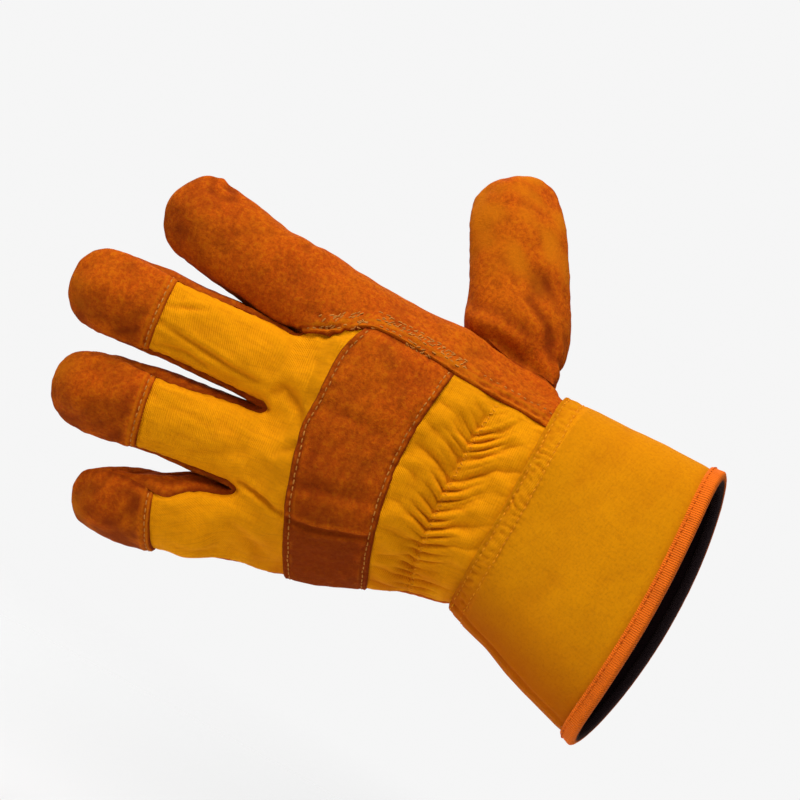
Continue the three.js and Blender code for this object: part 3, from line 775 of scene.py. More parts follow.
def clear_of(distance, reach):
    """0 at an edge, and 1 from a distance on."""
    return smoothstep(distance, 0, reach)


def uneven(patch, seed, pitch, height, **options):
    """Soft unevenness of a patch, whose swells are about one pitch apart and about that high."""
    return height * Waves(seed, pitch, **options)(patch.co)


def smoothstep(value, low, high):
    share = np.clip((value - low) / (high - low), 0, 1)
    return share * share * (3 - 2 * share)


def round_over(distance, radius):
    """How far the face of a cut edge has fallen, as a share of the sheet, at a distance from the edge."""
    share = np.clip(distance / radius, 0, 1)
    return 1 - np.sqrt(1 - (1 - share) ** 2)


Fold = namedtuple("Fold", "limb line depth width")
Swell = namedtuple("Swell", "limb spot height reach")

# Folds on the skin, along lines of places: column and ring on the hand, or place round and along on a limb
FOLDS = [
    Fold("hand", ((4.6, 8.97), (4.4, 8.8), (4.5, 8.5), (4.88, 7.5), (5.1, 7.05)), 1.3 * MM, 2.2 * MM),
    Fold("hand", ((6.8, 8.95), (7.0, 8.12), (7.25, 7.1)), 1.7 * MM, 1.3 * MM),
    Fold("hand", ((8.1, 8.8), (8.7, 7.8)), 1.2 * MM, 2.8 * MM),
    Fold("hand", ((3.1, 8.9), (2.3, 7.1)), 0.9 * MM, 2.4 * MM),
    Fold("hand", ((5.9, 8.2), (5.6, 7.1)), 0.7 * MM, 2.0 * MM),
    Fold("hand", ((6.4, 7.15), (6.3, 6.0)), 1.1 * MM, 3.0 * MM),
    Fold("hand", ((7.2, 7.1), (7.38, 6.6), (7.25, 5.9)), 0.9 * MM, 1.2 * MM),
    Fold("hand", ((4.3, 7.1), (4.5, 6.2)), 0.5 * MM, 2.6 * MM),
    Fold("middle", ((1.1, 2.95), (1.25, 1.9), (1.38, 1.0), (1.5, 0.2)), 0.95 * MM, 1.3 * MM),
    Fold("middle", ((0.75, 2.95), (0.5, 2.0)), 0.5 * MM, 1.2 * MM),
    Fold("middle", ((1.62, 2.9), (1.5, 2.1), (1.6, 1.5)), 0.6 * MM, 1.1 * MM),
    Fold("ring", ((0.6, 2.9), (0.8, 0.3)), 0.3 * MM, 1.6 * MM),
    Fold("ring", ((1.4, 1.2), (1.12, 0.1)), 0.8 * MM, 2.6 * MM),
    Fold("little", ((0.8, 2.8), (1.0, 1.2)), 0.3 * MM, 1.6 * MM),
    Fold("little", ((2.2, 0.1), (1.7, 1.8)), 0.9 * MM, 2.2 * MM),
    Fold("little", ((6.4, 3.6), (6.9, 0.9)), 0.7 * MM, 1.2 * MM),
    Fold("index", ((7.2, 4.5), (8.2, 4.3)), -1.0 * MM, 1.6 * MM),
    Fold("index", ((6.9, 1.1), (8.9, 1.5)), 0.7 * MM, 2.2 * MM),
    Fold("index", ((3.2, 1.0), (5.2, 1.2)), 1.0 * MM, 1.8 * MM),
    Fold("middle", ((4.2, 1.4), (5.8, 1.3)), 0.9 * MM, 1.6 * MM),
    Fold("ring", ((4.2, 1.3), (5.8, 1.4)), 0.9 * MM, 1.6 * MM),
    Fold("little", ((4.0, 1.3), (5.9, 1.2)), 0.8 * MM, 1.5 * MM),
    Fold("thumb", ((2.3, 1.35), (1.75, 1.12), (0.88, 0.62)), -1.3 * MM, 2.6 * MM),
    Fold("thumb", ((0.75, 1.75), (0.25, 1.0), (0.05, 0.2)), 1.1 * MM, 2.4 * MM),
    Fold("thumb", ((1.9, 0.5), (1.3, 0.2), (0.25, 0.05)), 0.9 * MM, 2.6 * MM),
    Fold("thumb", ((5.8, 0.6), (7.8, 0.5)), 1.0 * MM, 2.4 * MM),
    Fold("hand", ((19.2, 6.3), (15.4, 6.7)), 1.0 * MM, 2.6 * MM),
    Fold("hand", ((18.0, 7.6), (13.0, 7.3)), 0.8 * MM, 3.0 * MM),
    Fold("hand", ((9.15, 3.0), (9.35, 0.05)), 1.0 * MM, 1.1 * MM),
]
SWELLS = [
    Swell("hand", (4.05, 8.35), 1.3 * MM, 4.5 * MM),
    Swell("hand", (6.1, 8.1), 1.0 * MM, 7 * MM),
    Swell("hand", (8.0, 7.6), 0.9 * MM, 6 * MM),
    Swell("thumb", (2.3, 0.35), 3.5 * MM, 8 * MM),
    Swell("hand", (0.5, 6.2), 2.0 * MM, 7 * MM),
    Swell("thumb", (0.5, 2.4), -1.4 * MM, 6 * MM),
]
FOLD_STEPS = 18
# How near a named place has to be, in columns or rings, and how far a fold can reach from its middle
SPOT_REACH = 0.25
FOLD_REACH = 60 * MM
# A fold's fade in shares of half a wave, its blend and lip in widths, and the lip's height in depths
FOLD_FADE = 0.12
FOLD_BLEND = 2.5
LIP_AT, LIP_HEIGHT, LIP_REACH = 2.1, 0.4, 1.3
# Depth at which a hollow is nearly as dark as it gets
HOLLOW_DEPTH = 0.55 * MM
# The least gap between two places, the least length to divide by and the least square of one
SAME_PLACE = 1e-6
FAINT = 1e-9
TINY = 1e-12


def place_of(patch, limb, spot):
    """The point of a patch that lies nearest to a place on a limb, or none where it has no such place."""
    on_limb = np.flatnonzero(patch.limb == limb)
    if not len(on_limb):
        return None
    gap = np.abs(patch.grid[on_limb] - spot).max(axis=1)
    return patch.co[on_limb[gap.argmin()]] if gap.min() < SPOT_REACH else None


def fold_relief(patch):
    """Height of the folds, each a crease with a soft lip on both sides, and of the swells."""
    height = np.zeros(len(patch.co))
    for swell in SWELLS:
        middle = place_of(patch, swell.limb, swell.spot)
        if middle is not None:
            height += swell.height * bump(np.linalg.norm(patch.co - middle, axis=1), swell.reach)
    for fold in FOLDS:
        line = np.array(fold.line)
        knots = np.linspace(0, 1, len(line))
        places = []
        for share in np.linspace(0, 1, FOLD_STEPS):
            spot = [np.interp(share, knots, line[:, 0]), np.interp(share, knots, line[:, 1])]
            place = place_of(patch, fold.limb, spot)
            if place is not None:
                places.append((place, share))
        if len(places) < 3:
            continue
        marks = np.array([place for place, _ in places])
        shares = np.array([math.sin(math.pi * mix(FOLD_FADE, 1 - FOLD_FADE, share)) for _, share in places])
        marks[1:-1] = (marks[:-2] + 2 * marks[1:-1] + marks[2:]) / 4
        close = np.linalg.norm(patch.co - marks.mean(axis=0), axis=1) < FOLD_REACH
        apart = np.linalg.norm(patch.co[close][:, None] - marks[None], axis=2)
        spread = np.exp(-((apart / (FOLD_BLEND * fold.width)) ** 2)) + FAINT
        strength = (spread * shares).sum(axis=1) / spread.sum(axis=1)
        a, b = marks[:-1], marks[1:]
        from_a, steps = patch.co[close][:, None] - a, b - a
        along = (from_a * steps).sum(axis=2) / (steps**2).sum(axis=1).clip(TINY)
        gap = np.linalg.norm(from_a - np.clip(along, 0, 1)[..., None] * steps, axis=2).min(axis=1)
        lip = ridge(gap, LIP_AT * fold.width, LIP_HEIGHT, LIP_REACH * fold.width)
        height[close] += fold.depth * strength * (lip - bump(gap, fold.width))
    return height


# The broad folds end a little past the strap's and the cuff's edges, in shares of the hand's length
PAST_STRAP = 0.03
PAST_CUFF = 0.02
# Beside the cuff the pleats lean away, most at the thumb's side, and on the strap's side they bend away
PLEAT_LEAN = (0.85, 0.05)
PLEAT_BEND = 2.6 * MM
BEND_RUN = 5 * MM
PLEAT_DRIFT = 0.2
# Broad folds for each pleat, the pleats' reach towards the strap and the cuff, and the elastic's groove
BROAD_SHARE = 0.42
PLEAT_REACH = (7 * MM, 10 * MM)
ELASTIC_DEPTH = 0.35 * MM
ELASTIC_REACH = 1.3 * MM


def gather_relief(patch, cut, make):
    """Pleats and puffs that the elastic draws into the cloth. Small pleats sit on the elastic and bend away
    towards the thumb, most of all beside the cuff, and broad ones run on to the strap and the cuff."""
    column, ring = patch.grid[:, 0], patch.grid[:, 1]
    across = (column - SEAM_COLUMN) / (LITTLE_EDGE - SEAM_COLUMN)
    alongs = [hand_ring.along for hand_ring in HAND_RINGS]
    first = RING_AT["cuff_edge"]
    along = np.interp(ring, range(first, first + len(alongs)), alongs)
    elastic = HAND_RINGS[RING_AT["elastic"] - first].along
    strap = HAND_RINGS[RING_AT["strap_near"] - first].along
    gone = (along - elastic) * cut.hand_length
    to_strap = (strap - elastic + PAST_STRAP) * cut.hand_length
    to_cuff = (elastic + PAST_CUFF) * cut.hand_length
    away = np.clip(np.where(gone > 0, gone / to_strap, -gone / to_cuff), 0, 1)
    lean = mix(*PLEAT_LEAN, across)
    bent = PLEAT_BEND * (1 - np.exp(-np.clip(gone, 0, None) / BEND_RUN))
    shift = np.where(gone > 0, bent + PLEAT_DRIFT * gone, -gone * lean)
    width = cut.wrist_width
    drift = (Waves(3, 34 * MM)(patch.co) * 1.3 + Waves(5, 13 * MM)(patch.co) * 0.3) * MM
    place = across * width + shift + drift
    fine = np.abs(np.sin(math.pi * make.pleat_count * place / width))
    broad = np.abs(np.sin(math.pi * make.pleat_count * BROAD_SHARE * (place + 0.6 * drift) / width + 0.6))
    vigour = np.clip(0.85 + 0.6 * Waves(8, 15 * MM)(patch.co), 0.15, 1.5)
    near = bump(gone, np.where(gone > 0, *PLEAT_REACH))
    pleat = make.pleat_height * (1.5 * fine**0.8 - 1.0) * vigour * near
    fold = make.pleat_height * (1.5 * broad - 1.0) * (1 - away**2)
    fold *= (1 - 0.6 * near) * np.clip(2 - vigour, 0.2, 1.4)
    puff = make.puff_height * (0.8 * np.sin(math.pi * away) - np.cos(math.pi / 2 * away) ** 2)
    elastic_line = -ridge(gone, 0, ELASTIC_DEPTH, ELASTIC_REACH)
    sides = smoothstep(across, 0, 0.15) * smoothstep(1 - across, 0, 0.06)
    on_hand_back = (patch.limb == "hand") & (across >= 0) & (across <= 1)
    inside = on_hand_back & (ring > first) & (along <= strap + PAST_STRAP)
    return np.where(inside, (pleat + fold + puff + elastic_line) * sides, 0)


def hollows(patch, height, rounds=10):
    """How much deeper each point lies than the skin around it, scaled to about -1 to 1."""
    a, b = patch.quads.ravel(), np.roll(patch.quads, -1, axis=1).ravel()
    smooth = height.copy()
    count = np.bincount(a, minlength=len(height)) + np.bincount(b, minlength=len(height))
    for _ in range(rounds):
        total = np.bincount(a, smooth[b], len(height)) + np.bincount(b, smooth[a], len(height))
        smooth = total / count
    return np.tanh((smooth - height) / HOLLOW_DEPTH)


def add_mesh(context, name, verts, faces, material, weave=None, marks=None, sharp=55):
    mesh = bpy.data.meshes.new(name)
    mesh.from_pydata(verts.tolist(), [], faces.tolist() if hasattr(faces, "tolist") else faces)
    if weave is not None:
        mesh.uv_layers.new(name="weave").uv.foreach_set("vector", weave.astype(np.float32).ravel())
    for key, values in (marks or {}).items():
        mesh.attributes.new(key, "FLOAT", "POINT").data.foreach_set("value", values.astype(np.float32))
    mesh.materials.append(material)
    mesh.shade_smooth()
    if sharp:
        mesh.set_sharp_from_angle(angle=math.radians(sharp))
    mesh.validate()
    thing = bpy.data.objects.new(name, mesh)
    context.scene.collection.objects.link(thing)
    return thing


def sew(context, patch, height, floor, material, worn=None, shade=0, inside=None):
    """A piece over its patch: an outer face at the given heights, an inner one at the floor's height, and
    walls between them. inside is a coarser patch for the inner face, where the piece's own is too fine to
    use twice. The piece remembers its outer face for the stitches."""
    count = len(patch.co)
    outer = patch.co + patch.normal * height[:, None]
    # Painted shade: hollows are darkened, raised places on cloth are lightened as a painted highlight, and
    # the shade passed in darkens more
    cavity = hollows(patch, height) + shade
    worn = np.zeros(count) if worn is None else worn
    under = inside or patch
    low = under.co + under.normal * floor
    edge_points, spots = np.unique(patch.edges, return_inverse=True)
    spots = spots.reshape(patch.edges.shape) + count + len(low)
    foot = patch.co[edge_points] + patch.normal[edge_points] * floor
    walls = np.stack([patch.edges[:, 1], patch.edges[:, 0], spots[:, 0], spots[:, 1]], axis=1)
    ends = np.stack([patch.edges[:, 1], patch.edges[:, 0], patch.edges[:, 0], patch.edges[:, 1]], axis=1)
    verts = np.concatenate([outer, low, foot])
    faces = np.concatenate([patch.quads, under.quads[:, ::-1] + count, walls])
    weave = np.concatenate([patch.corner_weave, under.corner_weave[:, ::-1], patch.weave[ends]])
    # Painted shade: the inner faces are marked as deep hollows, so they are coloured as if in shade
    marks = {
        "cavity": np.concatenate([cavity, np.ones(len(low)), cavity[edge_points]]),
        "worn": np.concatenate([worn, np.zeros(len(low)), worn[edge_points]]),
    }
    piece = add_mesh(context, patch.name + "_worn", verts, faces, material, weave, marks)
    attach(piece, "root")
    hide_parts(patch.name)
    patch.outer = outer
    patch.surface = BVHTree.FromPolygons(outer.tolist(), patch.quads.tolist())


# Stitches

STITCH_SIDES = 6
# Each ring's place along the stitch, its girth and its rise, in shares of half the length and of the radius
STITCH_RINGS = [(-1.0, 0.15, -0.9), (-0.82, 0.75, -0.25), (-0.4, 1.0, 0.35)]
STITCH_RINGS += [(-along, girth, rise) for along, girth, rise in reversed(STITCH_RINGS)]


def stitch_form(length, radius):
    """One stitch along X, as points and faces: a thread that dives into the cloth at both ends."""
    points = []
    for along, girth, rise in STITCH_RINGS:
        for k in range(STITCH_SIDES):
            turn = 2 * math.pi * k / STITCH_SIDES
            across, up = math.cos(turn) * radius * girth, math.sin(turn) * radius * girth
            points.append([along * length / 2, across * 1.15, up + rise * radius])
    faces = []
    for ring in range(len(STITCH_RINGS) - 1):
        for k in range(STITCH_SIDES):
            a, b = ring * STITCH_SIDES + k, ring * STITCH_SIDES + (k + 1) % STITCH_SIDES
            faces.append([a, a + STITCH_SIDES, b + STITCH_SIDES, b])
    return np.array(points), np.array(faces)


class Thread:
    """Collects stitches and sews them into one piece."""

    def __init__(self, make, seed=1):
        self.make = make
        self.form, self.form_faces = stitch_form(make.stitch_length, make.thread_radius)
        self.points, self.faces = [], []
        self.chance = np.random.default_rng(seed)

    def stitch(self, place, run, normal, stretch=1.0):
        run = unit(run - normal * np.dot(run, normal))
        basis = np.array([run, np.cross(normal, run), normal])
        form = self.form * [stretch, 1, 1]
        self.faces.append(self.form_faces + len(self.points) * len(self.form))
        self.points.append(place + form @ basis)

    def row(self, surface, line, pitch=None, slant=0.0, wander=0.12 * MM, turn=0.0, stretch=1.0):
        """Stitches along a line of points, laid on a surface. slant turns each stitch by that angle, and
        turn swings them by it to both sides in turn."""
        steps = np.linalg.norm(np.diff(line, axis=0), axis=1)
        marks = np.concatenate([[0], np.cumsum(steps)])
        total = marks[-1]
        pitch = total / max(1, round(total / (pitch or self.make.stitch_pitch)))
        spots = np.arange(pitch / 2, total, pitch)
        for n, spot in enumerate(spots):
            near = (spot - pitch / 3, spot, spot + pitch / 3)
            at = [np.array([np.interp(s, marks, line[:, k]) for k in range(3)]) for s in near]
            place, normal, _, _ = surface.find_nearest(Vector(at[1] + self.chance.normal(0, wander, 3)))
            normal = np.array(normal)
            run = at[2] - at[0]
            if np.linalg.norm(run) < SAME_PLACE:
                continue
            angle = slant + (turn if n % 2 else -turn) + self.chance.normal(0, 0.05)
            run = unit(run)
            run = run * math.cos(angle) + np.cross(normal, run) * math.sin(angle)
            self.stitch(np.array(place), run, normal, stretch)

    def edge_row(self, patch, *kinds, inset, rings=ALL_RINGS, least=5 * MM, **options):
        """Rows along a piece's edges of these kinds, set in from the edge."""
        for run in patch.chains(*kinds, rings=rings):
            line = inset_line(patch, run, inset)
            if len(line) > 4 and np.linalg.norm(np.diff(line, axis=0), axis=1).sum() > least:
                self.row(patch.surface, line, **options)

    def tangle(self, patch, rings, inset, count, reach):
        """Back-stitches sewn over each other where a seam starts or ends."""
        run = max(patch.chains("over", rings=rings), key=len)
        line = inset_line(patch, run, inset)
        middle = line[len(line) // 2]
        for _ in range(count):
            spot = middle + (line[-1] - line[0]) * self.chance.uniform(-0.5, 0.5)
            spot = spot + self.chance.normal(0, reach, 3)
            place, normal, _, _ = patch.surface.find_nearest(Vector(spot))
            normal = np.array(normal)
            way = unit(line[-1] - line[0]) + self.chance.normal(0, 0.7, 3)
            self.stitch(np.array(place) + normal * self.chance.uniform(0, 0.4) * MM, way, normal, 0.9)

    def free_row(self, line, normals, pitch):
        """Stitches along a line that carries its own normals."""
        marks = np.concatenate([[0], np.cumsum(np.linalg.norm(np.diff(line, axis=0), axis=1))])
        for spot in np.arange(pitch / 2, marks[-1], pitch):
            near = (spot - 1 * MM, spot, spot + 1 * MM)
            at = [np.array([np.interp(x, marks, line[:, k]) for k in range(3)]) for x in near]
            normal = unit(np.array([np.interp(spot, marks, normals[:, k]) for k in range(3)]))
            self.stitch(at[1], at[2] - at[0], normal, 0.75)

    def piece(self, context, name, material):
        points = np.concatenate(self.points)
        faces = np.concatenate(self.faces)
        piece = add_mesh(context, name, points, faces, material, sharp=None)
        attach(piece, "root")


def inset_line(patch, run, inset):
    """An edge's run of points, smoothed and moved into the piece."""
    line = patch.outer[run]
    normal = patch.normal[run]
    kernel = np.array([1, 2, 3, 2, 1]) / 9
    if len(line) > 8:
        padded = np.pad(line, ((2, 2), (0, 0)), mode="edge")
        line = np.stack([np.convolve(padded[:, k], kernel, mode="valid") for k in range(3)], axis=1)
    ahead = np.gradient(line, axis=0)
    inward = np.cross(normal, ahead)
    inward /= np.linalg.norm(inward, axis=1)[:, None].clip(FAINT)
    return line + inward * inset


# Finishes


class Wire:
    """A socket in a material that takes part in Python expressions."""

    def __init__(self, finish, socket):
        self.finish = finish
        self.socket = socket

    def math(self, operation, *others, clamp=False):
        settings = dict(operation=operation, use_clamp=clamp)
        inputs = {i: value for i, value in enumerate((self, *others))}
        return self.finish.node("ShaderNodeMath", settings, inputs)

    def __add__(self, other):
        return self.math("ADD", other)

    def __sub__(self, other):
        return self.math("SUBTRACT", other)

    def __rsub__(self, other):
        return self.finish.node("ShaderNodeMath", dict(operation="SUBTRACT"), {0: other, 1: self})

    def __mul__(self, other):
        return self.math("MULTIPLY", other)

    def __neg__(self):
        return self * -1

    __radd__ = __add__
    __rmul__ = __mul__

    def clamped(self):
        return self.math("ADD", 0, clamp=True)

    def sine(self):
        return self.math("SINE")

    def over(self, low, high):
        """0 below low, 1 above high, and smooth between."""
        settings = dict(interpolation_type="SMOOTHSTEP")
        return self.finish.node("ShaderNodeMapRange", settings, {0: self, 1: low, 2: high, 3: 0, 4: 1})


class Finish:
    """A material in the making."""

    def __init__(self, name, sheen=0.0, sheen_tint=(1, 1, 1), specular=0.5):
        self.material = bpy.data.materials.new(name)
        self.material.use_nodes = True
        self.tree = self.material.node_tree
        self.shader = self.tree.nodes["Principled BSDF"]
        self.shader.inputs["Sheen Weight"].default_value = sheen
        self.shader.inputs["Sheen Roughness"].default_value = 0.45
        self.shader.inputs["Sheen Tint"].default_value = (*sheen_tint, 1)
        self.shader.inputs["Specular IOR Level"].default_value = specular
        self.place = self.node("ShaderNodeTexCoord", {}, {}, "Object")
        # The cavity mark is painted shade in hollows, on inner faces and on shaded sides; the worn mark is
        # wear, and also painted shade on the back cloth, the cuff and the binding's inner side
        self.cavity = self.node("ShaderNodeAttribute", dict(attribute_name="cavity"), {}, "Fac")
        self.worn = self.node("ShaderNodeAttribute", dict(attribute_name="worn"), {}, "Fac")

    def node(self, kind, settings, inputs, output=0):
        """A node with its settings made first, then its sockets given values or wires."""
        node = self.tree.nodes.new(kind)
        for key, value in settings.items():
            setattr(node, key, value)
        for key, value in inputs.items():
            self.give(node.inputs[key], value)
        return Wire(self, node.outputs[output])

    def give(self, socket, value):
        if isinstance(value, Wire):
            self.tree.links.new(value.socket, socket)
        elif hasattr(value, "__len__") and socket.type == "RGBA":
            socket.default_value = (*value[:3], 1)
        else:
            socket.default_value = value

    def blend(self, share, a, b, how="MIX"):
        """A colour that is a where share is 0 and b where it is 1."""
        settings = dict(data_type="RGBA", blend_type=how, clamp_factor=True)
        node = self.tree.nodes.new("ShaderNodeMix")
        for key, value in settings.items():
            setattr(node, key, value)
        for socket, value in zip((node.inputs[0], node.inputs[6], node.inputs[7]), (share, a, b)):
            self.give(socket, value)
        return Wire(self, node.outputs[2])

    def stain(self, base, colour, where, low, high, share):
        """Lays a colour over the base, from none where a value is low to a share of it where it is high."""
        return self.blend(where.over(low, high) * share, base, colour)

    def stretched(self, x, y, z):
        """Places scaled apart along the three axes."""
        return self.node("ShaderNodeVectorMath", dict(operation="MULTIPLY"), {0: self.place, 1: (x, y, z)})

    def on_cloth(self, across, along):
        """Places on the flat cloth, scaled apart in its two directions."""
        spot = self.node("ShaderNodeUVMap", dict(uv_map="weave"), {}, "UV")
        return self.node(
            "ShaderNodeVectorMath", dict(operation="MULTIPLY"), {0: spot, 1: (across, along, 1)}
        )

    def noise(self, pitch, detail=2.0, roughness=0.5, place=None):
        """Uneven values from 0 to 1 whose patches are about one pitch apart."""
        inputs = {
            "Vector": place or self.place, "Scale": 1 / pitch, "Detail": detail, "Roughness": roughness
        }
        return self.node("ShaderNodeTexNoise", {}, inputs, "Fac")

    def weave(self):
        """Places on the flat cloth, across and along, in metres."""
        spot = self.node("ShaderNodeUVMap", dict(uv_map="weave"), {}, "UV")
        parts = self.tree.nodes.new("ShaderNodeSeparateXYZ")
        self.give(parts.inputs[0], spot)
        return Wire(self, parts.outputs[0]), Wire(self, parts.outputs[1])

    def finish(self, base, roughness, height, depth):
        """Sets the colour, the roughness and the relief, whose height of 1 is that deep."""
        relief = self.node("ShaderNodeBump", {}, {"Height": height, "Distance": depth, "Strength": 1.0})
        for key, value in (("Base Color", base), ("Roughness", roughness), ("Normal", relief)):
            self.give(self.shader.inputs[key], value)
        return self.material


# How much is left of each channel of a colour in grubby thread; in paler cloth, for uneven tone and as a
# painted highlight on raised places; in deeper cloth, for its yarns and as painted shade in hollows; and in
# tan cloth, for wear and as painted shade
THREAD_GRIME = (0.62, 0.5, 0.38)
PALE = 1.18
DEEP = (0.62, 0.42, 0.5)
TAN = (0.6, 0.27, 0.5)


def dyed(colour, shares):
    return tuple(channel * share for channel, share in zip(colour, shares))


def suede_finish(name, colours, gold=0.3, dark=0.3):
    """Napped split leather: cloudy colour, short brushed fibres, rubbed seams, worn tips, and painted shade
    in hollows and on shaded sides.
    """
    f = Finish(name, sheen=0.1, sheen_tint=(0.9, 0.3, 0.02), specular=0.05)
    clouds = f.noise(34 * MM, detail=3, roughness=0.55)
    patches = f.noise(11 * MM, detail=3, roughness=0.6)
    brushed = f.noise(3.4 * MM, detail=3, roughness=0.65, place=f.stretched(1.0, 1.0, 0.4))
    grain = f.noise(1.8 * MM, detail=3, roughness=0.7)
    nap = f.noise(0.6 * MM, detail=3, roughness=0.7)
    base = f.stain(colours.suede, colours.suede_gold, clouds, low=0.38, high=0.68, share=gold)
    base = f.stain(base, colours.suede_dark, 1 - patches, low=0.45, high=0.85, share=dark)
    base = f.stain(base, colours.suede_gold, brushed, low=0.45, high=0.75, share=0.22)
    base = f.stain(base, colours.suede_dark, 1 - grain, low=0.42, high=0.7, share=0.5)
    base = f.stain(base, colours.suede_gold, grain, low=0.5, high=0.7, share=0.55)
    base = f.stain(base, colours.suede_gold, nap, low=0.35, high=0.75, share=0.3)
    # Painted shade: hollows, shaded sides and the webs darken towards the dark suede
    base = f.blend(f.cavity.clamped() * 0.8, base, colours.suede_dark)
    base = f.stain(base, colours.suede_gold, f.worn, low=0.1, high=1.0, share=0.75)
    height = grain * 0.7 + nap * 0.45 + brushed * 0.4
    return f.finish(base, 0.86 + patches * 0.14, height, 0.5 * MM)


def drill_finish(name, base_colour, pitch=0.85 * MM, streaks=0.3, ribs=0.16, specks=0.28):
    """Cotton drill or canvas: diagonal twill ribs, uneven yarns, painted shade in hollows, painted
    highlights on raised places, and tan both where worn and as painted shade.
    """
    f = Finish(name, sheen=0.05, sheen_tint=(1.0, 0.45, 0.02), specular=0.05)
    across, along = f.weave()
    wobble = f.noise(5 * MM, detail=2, roughness=0.5) * 1.8
    rib = ((across + along) * (2 * math.pi / pitch) + wobble).sine()
    yarns = f.noise(1.0 * MM, detail=2, roughness=0.55, place=f.on_cloth(1.0, 0.08))
    picks = f.noise(1.0 * MM, detail=2, roughness=0.55, place=f.on_cloth(0.1, 1.0))
    clouds = f.noise(30 * MM, detail=3, roughness=0.55)
    speck = f.noise(1.1 * MM, detail=3, roughness=0.7)
    pale = tuple(min(1, channel * PALE) for channel in base_colour)
    deep, tan = dyed(base_colour, DEEP), dyed(base_colour, TAN)
    base = f.stain(base_colour, pale, clouds, low=0.35, high=0.7, share=0.25)
    base = f.stain(base, deep, 1 - yarns, low=0.42, high=0.75, share=streaks)
    base = f.stain(base, deep, 1 - picks, low=0.45, high=0.75, share=streaks * 0.5)
    base = f.stain(base, deep, 1 - speck, low=0.4, high=0.8, share=specks)
    base = f.stain(base, deep, 1 - rib, low=0.2, high=1.9, share=ribs)
    # Painted shade in the hollows, a painted highlight on raised places, and tan for wear and as painted
    # shade
    base = f.blend(f.cavity.clamped() * 0.8, base, deep)
    base = f.blend((-f.cavity).clamped() * 0.35, base, pale)
    base = f.blend(f.worn.clamped() * 0.85, base, tan)
    height = rib * 0.5 + yarns * 0.6 + speck * 0.7
    return f.finish(base, 0.78 + yarns * 0.15, height, 0.15 * MM)


def tape_finish(colours):
    """Woven binding tape with fine cross ribs and a fuzzy face."""
    f = Finish("binding_tape", sheen=0.08, sheen_tint=(1.0, 0.4, 0.1), specular=0.15)
    across, along = f.weave()
    ribs = (across * (2 * math.pi / (0.9 * MM))).sine()
    fine = f.noise(0.45 * MM, detail=2, roughness=0.6)
    deep = tuple(c * 0.6 for c in colours.tape)
    base = f.stain(colours.tape, deep, 1 - ribs, low=0.3, high=1.9, share=0.4)
    base = f.blend(f.noise(9 * MM, detail=2, roughness=0.5).over(0.4, 0.7) * 0.3, base, deep)
    # Painted shade: where marked worn, the binding's inner side takes the dark lining's colour
    base = f.blend(f.worn.clamped(), base, colours.lining)
    return f.finish(base, 0.7 + fine * 0.2, ribs * 0.5 + fine * 0.5, 0.25 * MM)


def thread_finish(name, dye):
    """Twisted sewing thread, a little grubby."""
    f = Finish(name, specular=0.15)
    fine = f.noise(0.35 * MM, detail=2, roughness=0.6)
    grubby = dyed(dye, THREAD_GRIME)
    base = f.blend(f.noise(8 * MM, detail=3, roughness=0.6).over(0.4, 0.65) * 0.7, dye, grubby)
    return f.finish(base, 0.75 + fine * 0.15, fine, 0.12 * MM)


# Making the pieces

shop = {}


def workshop(context):
    """The skins and finishes that the operators share, made once for the sizes in use."""
    if not shop:
        scene = context.scene
        net = Net(scene.glove_cut)
        colours = scene.glove_colours
        levels = scene.glove_make.skin_levels
        finer = scene.glove_make.cloth_levels
        coarser = 0
        shop["skin"] = Skin(net, levels - coarser)
        shop["fine"] = Skin(net, finer - coarser)
        shop["suede"] = suede_finish("suede", colours)
        shop["strap_suede"] = suede_finish("strap_suede", colours, gold=0.2, dark=0.6)
        shop["drill"] = drill_finish("cotton_drill", tuple(colours.drill))
        shop["canvas"] = drill_finish(
            "cuff_canvas", tuple(colours.canvas), pitch=0.7 * MM, streaks=0.15, ribs=0.1, specks=0.5
        )
        shop["lining"] = drill_finish("dark_lining", tuple(colours.lining), pitch=1.0 * MM)
        shop["tape"] = tape_finish(colours)
        shop["thread"] = thread_finish("sewing_thread", tuple(colours.thread))
        yellow = tuple(mix(a, b, 0.1) for a, b in zip(colours.drill, colours.thread))
        shop["yellow_thread"] = thread_finish("yellow_thread", yellow)
        shop["orange_thread"] = thread_finish("orange_thread", tuple(c * 0.8 for c in colours.tape))
        shop["patches"] = {}
    return shop


def base_patch(context, name, skin="skin"):
    patch = Patch(workshop(context)[skin], name, lambda face: base_piece(face) == name)
    shop["patches"][name] = patch
    return patch


